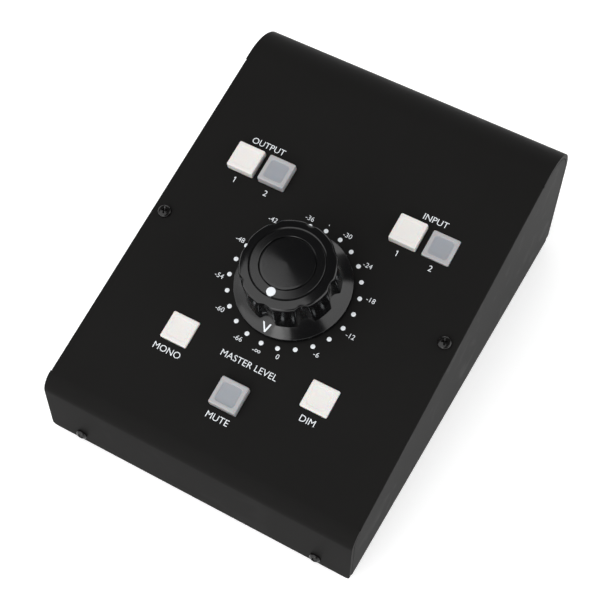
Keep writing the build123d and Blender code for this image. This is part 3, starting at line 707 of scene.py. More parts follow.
def shaped(work: bmesh.types.BMesh, name: str, sharp: float = 35.0) -> bpy.types.Object:
    """Turns a mesh under construction into a smooth-shaded object with outward faces.

    Args:
        work: the mesh under construction, which is freed.
        name: the object's name.
        sharp: the angle in degrees over which an edge is sharp.

    Returns:
        The object.
    """
    bmesh.ops.remove_doubles(work, verts=work.verts, dist=1e-6)
    bmesh.ops.recalc_face_normals(work, faces=work.faces)
    mesh = closed(work, name)
    crease(mesh, sharp)
    return link(name, mesh)


def spun(profile: Sequence[tuple[float, float]], name: str, count: int) -> bpy.types.Object:
    """Turns a profile round the Z axis into a solid.

    Args:
        profile: radius and height of its points, in order along the outside.
        name: the object's name.
        count: how many sides the solid has.

    Returns:
        The object.
    """
    return shaped(skin([ring(radius, height, count) for radius, height in profile]), name)


def baked(obj: bpy.types.Object) -> bpy.types.Object:
    """Turns an object's evaluated shape, modifiers included, into its own plain mesh.

    Args:
        obj: the object.

    Returns:
        The same object, without modifiers.
    """
    evaluated = obj.evaluated_get(bpy.context.evaluated_depsgraph_get())
    mesh = bpy.data.meshes.new_from_object(evaluated)
    obj.modifiers.clear()
    obj.data = mesh
    return obj


def settle(obj: bpy.types.Object, place: Matrix) -> bpy.types.Object:
    """Moves a piece's mesh to its place and returns the piece; the object stays at the origin."""
    obj.data.transform(place)
    return obj


def carve(obj: bpy.types.Object, cutter: bpy.types.Object) -> None:
    """Cuts one closed shape out of another.

    Args:
        obj: the shape that is cut.
        cutter: the shape that cuts, which is removed.
    """
    cut = obj.modifiers.new("cut", "BOOLEAN")
    cut.operation = "DIFFERENCE"
    cut.solver = "EXACT"
    cut.object = cutter
    baked(obj)
    bpy.data.objects.remove(cutter)


def join(name: str, objects: Sequence[bpy.types.Object]) -> bpy.types.Object:
    """Joins untransformed objects.

    Args:
        name: the new object's name.
        objects: the objects, which are removed.

    Returns:
        The new object.
    """
    work = bmesh.new()
    for obj in objects:
        work.from_mesh(obj.data)
        bpy.data.objects.remove(obj)
    return link(name, closed(work, name))


# ---------------------------------------------------------------------------- Geometry Nodes
def start_tree(name: str, inputs: dict[str, str]) -> tuple[NodeSketch, object]:
    """Starts a Geometry Nodes tree with named inputs.

    Args:
        name: the tree's name.
        inputs: input names with their kinds, such as Float or Object.

    Returns:
        A sketch on the tree, and the sockets that give the inputs.
    """
    tree = bpy.data.node_groups.new(name, "GeometryNodeTree")
    for label, kind in inputs.items():
        tree.interface.new_socket(label, in_out="INPUT", socket_type=f"NodeSocket{kind}")
    tree.interface.new_socket("Geometry", in_out="OUTPUT", socket_type="NodeSocketGeometry")
    sketch = NodeSketch(tree)
    return sketch, sketch.add("NodeGroupInput").outputs


def close_tree(
    sketch: NodeSketch,
    geometry: bpy.types.NodeSocket,
    material: bpy.types.NodeSocket,
    merge: bpy.types.NodeSocket | None = None,
) -> bpy.types.NodeTree:
    """Ends a Geometry Nodes tree: copies are made real and get their material.

    Args:
        sketch: the sketch on the tree.
        geometry: what the tree has made.
        material: the material's socket.
        merge: how near points are that become one; without it, none do.

    Returns:
        The tree.
    """
    made = sketch.add("GeometryNodeRealizeInstances", {"Geometry": geometry}).outputs[0]
    if merge is not None:
        seams = {"Geometry": made, "Distance": merge}
        made = sketch.add("GeometryNodeMergeByDistance", seams).outputs[0]
    coated = sketch.add("GeometryNodeSetMaterial", {"Geometry": made, "Material": material})
    sketch.add("NodeGroupOutput", {"Geometry": coated.outputs[0]})
    return sketch.tree


def grown(obj: bpy.types.Object, tree: bpy.types.NodeTree, values: dict[str, object]) -> bpy.types.Object:
    """Runs a tree on an object and keeps the result as its plain mesh.

    Args:
        obj: the object.
        tree: the Geometry Nodes tree.
        values: the names of the tree's inputs with their values.

    Returns:
        The same object, without modifiers.
    """
    modifier = obj.modifiers.new(tree.name, "NODES")
    modifier.node_group = tree
    items = tree.interface.items_tree
    identifiers = {item.name: item.identifier for item in items if item.in_out == "INPUT"}
    for name, value in values.items():
        modifier[identifiers[name]] = value
    return baked(obj)


class Repeater:
    """Trees that copy one shape round an axis or onto marked places."""

    def __init__(self) -> None:
        """Builds both trees."""
        self.around = self.build_around()
        self.onto = self.build_onto()

    @staticmethod
    def build_around() -> bpy.types.NodeTree:
        """Builds the tree that turns copies round the Z axis and closes the seams between them.

        Returns:
            The tree.
        """
        kinds = {"Geometry": "Geometry", "Count": "Int", "Merge Distance": "Float", "Material": "Material"}
        sketch, given = start_tree("copies_round_axis", kinds)
        step = sketch.math("DIVIDE", math.tau, given["Count"])
        index = sketch.add("GeometryNodeInputIndex").outputs[0]
        angle = sketch.math("MULTIPLY", index, step)
        inputs = {
            "Points": sketch.add("GeometryNodePoints", {"Count": given["Count"]}).outputs[0],
            "Instance": given["Geometry"],
            "Rotation": sketch.add("ShaderNodeCombineXYZ", {"Z": angle}).outputs[0],
        }
        copies = sketch.add("GeometryNodeInstanceOnPoints", inputs).outputs[0]
        return close_tree(sketch, copies, given["Material"], given["Merge Distance"])

    @staticmethod
    def build_onto() -> bpy.types.NodeTree:
        """Builds the tree that puts copies on the points of another mesh.

        Returns:
            The tree.
        """
        kinds = {"Geometry": "Geometry", "Places": "Object"}
        kinds |= {"Merge Distance": "Float", "Material": "Material"}
        sketch, given = start_tree("copies_on_places", kinds)
        marks = sketch.add("GeometryNodeObjectInfo", {"Object": given["Places"]}).outputs["Geometry"]
        points = sketch.add("GeometryNodeMeshToPoints", {"Mesh": marks}).outputs[0]
        inputs = {"Points": points, "Instance": given["Geometry"]}
        copies = sketch.add("GeometryNodeInstanceOnPoints", inputs).outputs[0]
        return close_tree(sketch, copies, given["Material"], given["Merge Distance"])

    def turned(
        self, obj: bpy.types.Object, count: int, material: bpy.types.Material, merge: float
    ) -> bpy.types.Object:
        """Copies an object's mesh round its Z axis.

        Args:
            obj: the object, which becomes all the copies.
            count: how many copies there are.
            material: their material.
            merge: how near points are that become one.

        Returns:
            The object.
        """
        return grown(obj, self.around, {"Count": count, "Merge Distance": merge * MM, "Material": material})

    def placed(
        self, obj: bpy.types.Object, places: Sequence[Point], material: bpy.types.Material
    ) -> bpy.types.Object:
        """Copies an object's mesh onto places.

        Args:
            obj: the object, which becomes all the copies.
            places: where the copies go.
            material: their material.

        Returns:
            The object.
        """
        mesh = bpy.data.meshes.new("places")
        mesh.from_pydata([Vector(place) * MM for place in places], [], [])
        marks = link("places", mesh)
        grown(obj, self.onto, {"Places": marks, "Merge Distance": 0.0, "Material": material})
        bpy.data.objects.remove(marks)
        return obj


class Winder:
    """The tree that winds wire into a coil along Z."""

    POINTS_A_TURN = 28
    WIRE_SIDES = 8

    def __init__(self) -> None:
        """Builds the tree."""
        kinds = dict.fromkeys(("Turns", "Radius", "Rise", "Wire Radius"), "Float") | {"Material": "Material"}
        sketch, given = start_tree("wound_wire", kinds)
        inputs = {
            "Resolution": self.POINTS_A_TURN,
            "Rotations": given["Turns"],
            "Start Radius": given["Radius"],
            "End Radius": given["Radius"],
            "Height": given["Rise"],
        }
        path = sketch.add("GeometryNodeCurveSpiral", inputs).outputs[0]
        section = {"Resolution": self.WIRE_SIDES, "Radius": given["Wire Radius"]}
        round_wire = sketch.add("GeometryNodeCurvePrimitiveCircle", section).outputs[0]
        inputs = {"Curve": path, "Profile Curve": round_wire, "Fill Caps": True}
        wound = sketch.add("GeometryNodeCurveToMesh", inputs).outputs[0]
        self.tree = close_tree(sketch, wound, given["Material"])

    def wind(
        self, name: str, turns: float, radius: float, rise: float, wire: float, material: bpy.types.Material
    ) -> bpy.types.Object:
        """Winds one coil round the Z axis, upwards from the middle of its wire at height 0.

        Args:
            name: the object's name.
            turns: how many turns it has.
            radius: from its axis to the middle of its wire.
            rise: its length between the middles of the wire's ends.
            wire: the wire's diameter.
            material: its material.

        Returns:
            The coil.
        """
        values = {
            "Turns": turns,
            "Radius": radius * MM,
            "Rise": rise * MM,
            "Wire Radius": wire / 2 * MM,
            "Material": material,
        }
        return grown(link(name, bpy.data.meshes.new(name)), self.tree, values)


# ---------------------------------------------------------------------------- the workshop
@dataclass
class Workshop:
    """What every sub-assembly needs: finishes, the trees, and how a finished piece is mounted."""

    wardrobe: Wardrobe = field(default_factory=Wardrobe)
    repeater: Repeater = field(default_factory=Repeater)
    winder: Winder = field(default_factory=Winder)
    same_place: float = 0.002
    flat_angle: float = 0.5
    edge_angle: float = 32.0

    def mount(
        self, obj: bpy.types.Object, body: str, slot: Slot, stands_for: Sequence[str] = ()
    ) -> None:
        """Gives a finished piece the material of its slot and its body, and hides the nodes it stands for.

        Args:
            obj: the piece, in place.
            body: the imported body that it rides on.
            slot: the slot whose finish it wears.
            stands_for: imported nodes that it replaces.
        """
        obj.data.materials.clear()
        obj.data.materials.append(self.wardrobe.wear(slot))
        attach(obj, body)
        if stands_for:
            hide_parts(*stands_for)
        log.info("%s: %d faces on %s", obj.name, len(obj.data.polygons), body)

    def soft_edged(self, node: str, name: str, width: float) -> bpy.types.Object:
        """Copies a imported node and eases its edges.

        Args:
            node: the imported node.
            name: the copy's name.
            width: how far each edge is eased.

        Returns:
            The copy.
        """
        work = opened(frame["nodes"][node].data)
        bmesh.ops.remove_doubles(work, verts=work.verts, dist=self.same_place * MM)
        flat = math.radians(self.flat_angle)
        bmesh.ops.dissolve_limit(
            work, angle_limit=flat, verts=work.verts, edges=work.edges, delimit={"NORMAL"}
        )
        obj = link(name, closed(work, name))
        ease = obj.modifiers.new("eased edges", "BEVEL")
        ease.width = width * MM
        ease.segments = 2
        ease.limit_method = "ANGLE"
        ease.angle_limit = math.radians(self.edge_angle)
        ease.use_clamp_overlap = True
        ease.harden_normals = True
        obj.data.polygons.foreach_set("use_smooth", [True] * len(obj.data.polygons))
        level = obj.modifiers.new("flat faces", "WEIGHTED_NORMAL")
        level.weight = 100
        return baked(obj)


# ---------------------------------------------------------------------------- the case
@dataclass
class Case:
    """The folded cover with its screws."""

    shop: Workshop
    edge: float = 0.18
    panel_screw: tuple[float, float] = (67.0, 5.5)
    front_screw: tuple[float, float] = (57.0, 5.0)
    rear_screw: tuple[float, float] = (64.0, 5.0)
    head_radius: float = 3.0
    wall_head_radius: float = 2.5
    head_height: float = 2.0
    head_side: float = 0.5
    head_chamfer: float = 0.12
    dome_sweep: float = 84.0
    shank_radius: float = 1.5
    shank_length: float = 8.0
    shank_chamfer: float = 0.35
    cross_mouth: tuple[float, float] = (2.1, 0.46)
    cross_foot: tuple[float, float] = (0.5, 0.16)
    cross_depth: float = 1.3
    cross_turn: float = 20.0
    overshoot: float = 0.2
    facets: int = 40

    def build(self) -> None:
        """Builds the cover and its screws."""
        cover = self.shop.soft_edged("top_cover", "cover", self.edge)
        self.shop.mount(cover, "case", Slot.case_coat, ["top_cover"])
        self.screws()

    def screw(self, head_radius: float) -> bpy.types.Object:
        """One pan-head screw with a cross recess, its head's seat at the origin.

        Args:
            head_radius: the head's radius.

        Returns:
            The screw.
        """
        dome = self.head_height - self.head_side
        sweep = arc((0, 0), 1, 0, self.dome_sweep, 12)
        profile = [
            (self.shank_radius - self.shank_chamfer, -self.shank_length),
            (self.shank_radius, -self.shank_length + self.shank_chamfer),
            (self.shank_radius, 0.0),
            (head_radius - self.head_chamfer, 0.0),
            (head_radius, self.head_chamfer),
            *[(head_radius * x, self.head_side + dome * y) for x, y in sweep],
        ]
        obj = spun(profile, "screw", self.facets)
        for degrees in (self.cross_turn, self.cross_turn + 90):
            carve(obj, self.cross_bar(degrees))
        crease(obj.data, 40)
        return obj

    def cross_bar(self, degrees: float) -> bpy.types.Object:
        """The cutter of one bar of the cross, narrower at its foot.

        Args:
            degrees: which way the bar lies.

        Returns:
            The cutter.
        """
        corners = ((-1, -1), (1, -1), (1, 1), (-1, 1))
        ends = (
            (self.cross_foot, self.head_height - self.cross_depth),
            (self.cross_mouth, self.head_height + self.overshoot),
        )
        loops = [[(x * reach, y * width, z) for x, y in corners] for (reach, width), z in ends]
        return settle(shaped(skin(loops), "cross"), turn(degrees, "Z"))

    def screws(self) -> None:
        """All the case screws, a pair on each wall, copied onto their places."""
        material = self.shop.wardrobe.wear(Slot.black_steel)
        banks = (
            (PANEL, self.head_radius, self.panel_screw),
            (FRONT, self.wall_head_radius, self.front_screw),
            (REAR, self.wall_head_radius, self.rear_screw),
        )
        made = []
        for wall, radius, (x, y) in banks:
            pair = self.shop.repeater.placed(self.screw(radius), [(-x, y, 0.0), (x, y, 0.0)], material)
            made.append(settle(pair, wall))
        obj = join("case_screw_set", made)
        crease(obj.data, 40)
        self.shop.mount(obj, "case", Slot.black_steel, ["case_screws"])


# ---------------------------------------------------------------------------- lettering
@dataclass(frozen=True)
class Words:
    """One printed word: its middle on the panel and the height of its capitals."""

    text: str
    x: float
    y: float
    height: float


@dataclass
class Legend:
    """The printing on the panel: dial dots, numbers and the names of the controls."""

    shop: Workshop
    lift: float = 0.002
    thickness: float = 0.03
    dot_radius: float = 1.0
    dot_bevel: tuple[float, float] = (0.03, 0.01)
    dot_circle: float = 28.1
    dot_sides: int = 24
    steps: int = 24
    capital: float = 0.729
    thinning: float = 0.015
    flag_reach: float = 0.6
    flag_width: float = 0.36
    mark_low: float = 30.8
    mark_length: float = 0.5
    mark_width: float = 0.3
    words: tuple[Words, ...] = (
        Words("OUTPUT", -41.7, 52.7, 3.0),
        Words("INPUT", 39.3, 52.7, 3.0),
        Words("1", -47.3, 32.3, 2.8),
        Words("2", -32.0, 32.3, 2.8),
        Words("1", 31.5, 32.3, 2.8),
        Words("2", 47.0, 32.3, 2.8),
        Words("MASTER LEVEL", 0.2, -38.6, 3.0),
        Words("MONO", -33.6, -48.4, 3.0),
        Words("DIM", 33.1, -48.5, 3.0),
        Words("MUTE", 0.0, -64.3, 3.0),
        Words("-∞", -0.1, -31.7, 2.3),
        Words("0", 9.0, -30.2, 2.3),
        Words("-6", 22.8, -22.2, 2.3),
        Words("-12", 31.5, -8.9, 2.3),
        Words("-18", 31.6, 8.8, 2.3),
        Words("-24", 23.2, 22.0, 2.3),
        Words("-30", 9.2, 30.4, 2.3),
        Words("-36", -9.0, 30.5, 2.3),
        Words("-42", -22.9, 23.0, 2.3),
        Words("-48", -30.9, 8.8, 2.3),
        Words("-54", -30.8, -9.5, 2.3),
        Words("-60", -23.0, -22.4, 2.3),
        Words("-66", -9.7, -30.4, 2.3),
    )

    def build(self) -> None:
        """Prints the dots and the words."""
        self.dots()
        self.lettering()

    def dots(self) -> None:
        """The dial's dots, one turned round the knob's axis."""
        inset, drop = self.dot_bevel
        profile = [
            (self.dot_radius, self.lift),
            (self.dot_radius, self.thickness - drop),
            (self.dot_radius - inset, self.thickness),
        ]
        obj = settle(spun(profile, "dial_dots", self.dot_sides), forward(self.dot_circle))
        material = self.shop.wardrobe.wear(Slot.marking_white)
        self.shop.repeater.turned(obj, self.steps, material, merge=0.0)
        crease(obj.data, 40)
        self.shop.mount(settle(obj, PANEL), "case", Slot.marking_white)

    def word(self, item: Words) -> bpy.types.Object:
        """One word as a thin raised mesh lying on the panel.

        Args:
            item: the word.

        Returns:
            The word's object, at its place.
        """
        curve = bpy.data.curves.new("word", "FONT")
        curve.body = item.text
        curve.size = item.height / self.capital * MM
        curve.align_x = "CENTER"
        curve.resolution_u = 4
        curve.extrude = self.thickness / 2 * MM
        curve.offset = -self.thinning * MM
        obj = link("word", curve)
        mesh = bpy.data.meshes.new_from_object(obj.evaluated_get(bpy.context.evaluated_depsgraph_get()))
        bpy.data.objects.remove(obj)
        mesh.transform(shift(item.x, item.y - item.height / 2, self.thickness / 2))
        return link("word", mesh)

    def bar(self, start: tuple[float, float], end: tuple[float, float], width: float) -> bpy.types.Object:
        """One straight printed stroke.

        Args:
            start: the middle of its one end on the panel.
            end: the middle of its other end.
            width: how wide it is.

        Returns:
            The stroke.
        """
        ahead = (Vector(end) - Vector(start)).normalized() * width / 2
        side = Vector((-ahead.y, ahead.x))
        corners = [Vector(start) - side, Vector(end) - side, Vector(end) + side, Vector(start) + side]
        heights = (self.lift, self.thickness)
        loops = [[(corner.x, corner.y, height) for corner in corners] for height in heights]
        return shaped(skin(loops), "stroke")

    def flag(self, item: Words) -> bpy.types.Object:
        """The slanting stroke at the head of a figure one."""
        top = item.y + item.height / 2 - self.flag_width / 2
        return self.bar((item.x, top), (item.x - self.flag_reach, top - self.flag_reach), self.flag_width)

    def lettering(self) -> None:
        """All the words as one piece, with the mark above the dial."""
        strokes = [self.flag(item) for item in self.words if item.text == "1"]
        mark_top = self.mark_low + self.mark_length
        strokes.append(self.bar((0.0, self.mark_low), (0.0, mark_top), self.mark_width))
        obj = join("panel_lettering", [self.word(item) for item in self.words] + strokes)
        self.shop.mount(settle(obj, PANEL), "case", Slot.marking_white)


# ---------------------------------------------------------------------------- the knob
@dataclass
class Knob:
    """The fluted volume knob: grip, disc, dot and pointer."""

    shop: Workshop
    flutes: int = 8
    flute_radius: float = 4.0
    flute_depth: float = 2.2
    flute_top_depth: float = 1.0
    blend_width: float = 0.9
    sector_steps: int = 30
    bore_radius: float = 3.02
    bore_top: float = 19.2
    nut_room_radius: float = 10.2
    nut_room_top: float = 6.4
    foot: float = 0.8
    skirt_radius: float = 25.2
    skirt_chamfer: float = 0.2
    skirt_rim: float = 3.6
    rim_round: float = 0.6
    rim_drop: float = 0.62
    rim_sweep: float = 52.0
    side_end: float = 0.75
    skirt_ease: float = 1.2
    fillet: float = 0.25
    slope_inset: float = 0.5
    wall_start: float = 0.3
    base_radius: float = 20.9
    base_height: float = 6.8
    top_radius: float = 20.2
    top_height: float = 21.8
    shoulder: float = 1.6
    shoulder_sweep: float = 66.0
    crown_radius: float = 15.7
    crown_height: float = 24.0
    crown_slope: tuple[float, float] = (1.6, 0.33)
    lip: float = 0.5
    lip_fall: float = 0.06
    lip_side: float = 0.35
    groove: float = 0.35
    groove_depth: float = 0.5
    ring_height: float = 24.4
    ring_fall: float = 0.2
    ring_ease: float = 0.12
    ring_side: float = 0.14
    disc_radius: float = 11.5
    disc_seat: float = 22.7
    disc_side: float = 0.3
    disc_ease: float = 0.32
    disc_step: float = 0.75
    disc_dome: float = 0.8
    disc_power: float = 1.3
    height: float = 25.1
    dot_radius: float = 1.95
    dot_place: float = 13.6
    dot_proud: float = 0.1
    dot_depth: float = 1.2
    dot_gap: float = 0.02
    pointer_near: float = 21.0
    pointer_far: float = 24.3
    pointer_half: float = 2.0
    pointer_tip: float = 0.3
    pointer_fork: float = 0.85
    stroke: float = 0.72
    paint_depth: float = 0.3
    paint_proud: float = 0.025
    sharp: float = 38.0

    def build(self) -> None:
        """Builds the knob's pieces."""
        self.body()
        self.disc()
        self.dot()
        self.pointer()

    def outline(self, height: float) -> float:
        """Radius of the grip without its flutes, at a height."""
        taper = (self.base_radius - self.top_radius) / (self.top_height - self.base_height)
        return self.base_radius - taper * (height - self.base_height)

    def on_skirt(self, radius: float) -> float:
        """Works out how high the skirt's slope lies.

        Args:
            radius: the distance from the knob's axis.

        Returns:
            The height of the slope there.
        """
        run = self.skirt_radius - self.slope_inset - self.base_radius
        slope = (self.base_height - self.skirt_rim) / run
        return self.base_height + (self.base_radius - radius) * slope

    def fluted(self, radius: float, height: float, angle: float) -> float:
        """Radius with the flute cut in, blended softly at the flute's edges.

        Args:
            radius: the profile's radius.
            height: where the point lies along the axis.
            angle: its angle from the middle of the flute, in radians.

        Returns:
            The radius of the point.
        """
        low = min(height, self.top_height)
        share = (low - self.base_height) / (self.top_height - self.base_height)
        depth = self.flute_depth + (self.flute_top_depth - self.flute_depth) * share
        centre = self.outline(low) + self.flute_radius - depth
        inside = self.flute_radius**2 - (centre * math.sin(angle)) ** 2
        cut = centre * math.cos(angle) - math.sqrt(inside) if inside > 0 else centre
        near = max(0.0, 1.0 - abs(radius - cut) / self.blend_width)
        return min(radius, cut) - near * near * self.blend_width / 4

    def junction(self, angle: float) -> tuple[float, float]:
        """Finds where the grip's wall meets the skirt's slope.

        Args:
            angle: angle from the middle of a flute, in radians.

        Returns:
            The radius and the height.
        """
        radius = self.base_radius
        for _ in range(12):
            height = self.on_skirt(radius)
            radius = self.fluted(self.outline(height), height, angle)
        return radius, self.on_skirt(radius)

    def underside(self) -> list[tuple[float, float]]:
        """Draws the knob's lower side, from the bore's end round to the skirt's rim.

        Returns:
            The radius and height of the points.
        """
        rim = (self.skirt_radius - self.rim_round, self.skirt_rim - self.rim_drop)
        return [
            (0.0, self.bore_top),
            (self.bore_radius, self.bore_top),
            (self.bore_radius, self.nut_room_top),
            (self.nut_room_radius, self.nut_room_top),
            (self.nut_room_radius, self.foot),
            (self.skirt_radius - self.skirt_chamfer, self.foot),
            (self.skirt_radius, self.foot + self.skirt_chamfer),
            (self.skirt_radius, self.skirt_rim - self.side_end),
            *arc(rim, self.rim_round, 0, self.rim_sweep, 5),
        ]

    def grip(self, angle: float) -> list[tuple[float, float]]:
        """Radius and height over the skirt's slope and up the fluted wall.

        Args:
            angle: angle from the middle of a flute, in radians.

        Returns:
            The points.
        """
        foot, low = self.junction(angle)
        rise = self.top_height - low - self.wall_start
        heights = [low + self.wall_start + rise * k / 10 for k in range(11)]
        centre = (self.top_radius - self.shoulder, self.top_height)
        over = arc(centre, self.shoulder, 0, self.shoulder_sweep, 9)[1:]
        reach, fall = self.crown_slope
        over.append((self.crown_radius + reach, self.crown_height - fall))
        outer, inner = self.skirt_radius - self.skirt_ease, self.base_radius + self.skirt_ease
        return [
            (outer, self.on_skirt(outer) - 0.02),
            (inner, self.on_skirt(inner)),
            (foot + self.fillet, self.on_skirt(foot + self.fillet)),
            (foot - 0.02, low + 0.06),
            *[(self.fluted(self.outline(h), h, angle), h) for h in heights],
            *[(self.fluted(r, z, angle), z) for r, z in over],
        ]

    def crown(self) -> list[tuple[float, float]]:
        """Draws the crown's lip, the groove and the ring, down into the disc's seat.

        Returns:
            The radius and height of the points.
        """
        floor = self.crown_height - self.groove_depth
        ring_edge = self.ring_height - self.ring_fall
        outer = self.crown_radius - self.groove
        inner = self.disc_radius + self.groove
        return [
            (self.crown_radius + self.lip, self.crown_height - self.lip_fall),
            (self.crown_radius, self.crown_height - self.lip_side),
            (self.crown_radius, floor),
            (outer, floor),
            (outer, ring_edge - self.ring_side),
            (outer - self.ring_ease, ring_edge),
            (inner + self.ring_ease, self.ring_height),
            (inner, self.ring_height - self.ring_ease),
            (inner, self.disc_seat),
            (0.0, self.disc_seat),
        ]

    def sector(self) -> bpy.types.Object:
        """One flute with half a lobe at each side, from the bore to the crown.

        Returns:
            The open skin of the sector.
        """
        span = math.pi / self.flutes
        work = bmesh.new()
        columns = []
        for step in range(self.sector_steps + 1):
            angle = span * (2 * step / self.sector_steps - 1)
            column = self.underside() + self.grip(angle) + self.crown()
            points = [(r * math.cos(angle), r * math.sin(angle), z) for r, z in column]
            columns.append([work.verts.new(Vector(point) * MM) for point in points])
        for near, far in zip(columns, columns[1:]):
            for k in range(len(near) - 1):
                work.faces.new((near[k], far[k], far[k + 1], near[k + 1]))
        bmesh.ops.remove_doubles(work, verts=work.verts, dist=1e-7)
        return link("knob_body_skin", closed(work, "knob_body_skin"))

    def body(self) -> None:
        """The body: the sector copied round the knob's axis, with the dot's seat drilled."""
        material = self.shop.wardrobe.wear(Slot.knob_black)
        obj = self.shop.repeater.turned(self.sector(), self.flutes, material, merge=0.002)
        work = opened(obj.data)
        bmesh.ops.recalc_face_normals(work, faces=work.faces)
        work.to_mesh(obj.data)
        work.free()
        self.finish(obj, self.ring_height - self.dot_depth, "knob_body")

    def finish(self, obj: bpy.types.Object, seat: float, node: str) -> None:
        """Drills a black piece for the dot and mounts it.

        Args:
            obj: the piece, in the knob's frame.
            seat: how far down the drill goes.
            node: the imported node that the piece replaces.
        """
        ends = [(self.dot_radius + self.dot_gap, seat), (self.dot_radius + self.dot_gap, self.height + 1)]
        carve(obj, settle(spun(ends, "drill", 40), forward(self.dot_place)))
        crease(obj.data, self.sharp)
        self.shop.mount(settle(obj, PANEL), "knob", Slot.knob_black, [node])

    def disc(self) -> None:
        """The domed disc in the middle of the crown."""
        edge = self.height - self.disc_dome
        reaches = [self.disc_radius - self.disc_ease - self.disc_step * k for k in range(15)] + [0.3]
        profile = [
            (self.disc_radius, self.disc_seat + 0.01),
            (self.disc_radius, edge - self.disc_side),
            (self.disc_radius - 0.05, edge - 0.15),
            (self.disc_radius - 0.15, edge - 0.04),
            *[(r, self.height - self.disc_dome * (r / self.disc_radius) ** self.disc_power) for r in reaches],
        ]
        work = skin([ring(r, z, 128) for r, z in profile])
        layer = work.verts.layers.float.new("turned")
        for vert in work.verts:
            vert[layer] = 1.0
        self.finish(shaped(work, "knob_disc_skin"), self.disc_seat - 1, "knob_disc")

    def dot(self) -> None:
        """The white dot, a low dome."""
        top = self.ring_height + self.dot_proud
        side = self.dot_radius - 0.03
        profile = [
            (side, self.ring_height - self.dot_depth),
            (side, top - 0.16),
            (side - 0.1, top - 0.06),
            (1.5, top - 0.015),
            (0.7, top),
        ]
        obj = settle(spun(profile, "knob_dot_skin", 40), forward(self.dot_place))
        self.shop.mount(settle(obj, PANEL), "knob", Slot.marking_white, ["knob_dot"])

    def pointer(self) -> None:
        """The filled V on the skirt's slope, pointing outwards."""
        inner = self.pointer_half - self.stroke
        outline = [
            (-self.pointer_half, self.pointer_near),
            (-inner, self.pointer_near),
            (0.0, self.pointer_far - self.pointer_fork),
            (inner, self.pointer_near),
            (self.pointer_half, self.pointer_near),
            (self.pointer_tip, self.pointer_far),
            (-self.pointer_tip, self.pointer_far),
        ]
        loops = [
            [(x, -reach, self.on_skirt(math.hypot(x, reach)) + proud) for x, reach in outline]
            for proud in (-self.paint_depth, self.paint_proud)
        ]
        work = skin(loops)
        bmesh.ops.triangulate(work, faces=work.faces)
        obj = shaped(work, "knob_pointer_skin")
        self.shop.mount(settle(obj, PANEL), "knob", Slot.marking_white, ["knob_pointer"])


# ---------------------------------------------------------------------------- buttons
@dataclass(frozen=True)
class CapPlastic:
    """What a button cap is moulded of, and how deep its dish is."""

    slot: Slot
    dish_depth: float


class Tone(Enum):
    """The two plastics of the button caps."""

    WHITE = CapPlastic(Slot.cap_warm_white, 0.12)
    GREY = CapPlastic(Slot.cap_grey, 0.3)


@dataclass(frozen=True)
class Station:
    """One push button: its name, its place on the panel, how far it is pushed in, its plastic."""

    name: str
    x: float
    y: float
    drop: float
    tone: Tone

    @property
    def body(self) -> str:
        """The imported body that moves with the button."""
        return f"{self.name}_button"


SWITCH_GRID = 15.24
PAIR_MIDDLE = 39.3
PAIR_ROW = 42.3
LATCHED = 2.5
STATIONS = (
    Station("output_1", -PAIR_MIDDLE - SWITCH_GRID / 2, PAIR_ROW, 0.0, Tone.WHITE),
    Station("output_2", -PAIR_MIDDLE + SWITCH_GRID / 2, PAIR_ROW, 0.0, Tone.GREY),
    Station("input_1", PAIR_MIDDLE - SWITCH_GRID / 2, PAIR_ROW, 0.0, Tone.WHITE),
    Station("input_2", PAIR_MIDDLE + SWITCH_GRID / 2, PAIR_ROW, LATCHED, Tone.GREY),
    Station("mono", -33.2, -38.2, LATCHED, Tone.WHITE),
    Station("dim", 33.2, -38.2, LATCHED, Tone.WHITE),
    Station("mute", 0.0, -54.2, 0.0, Tone.GREY),
)


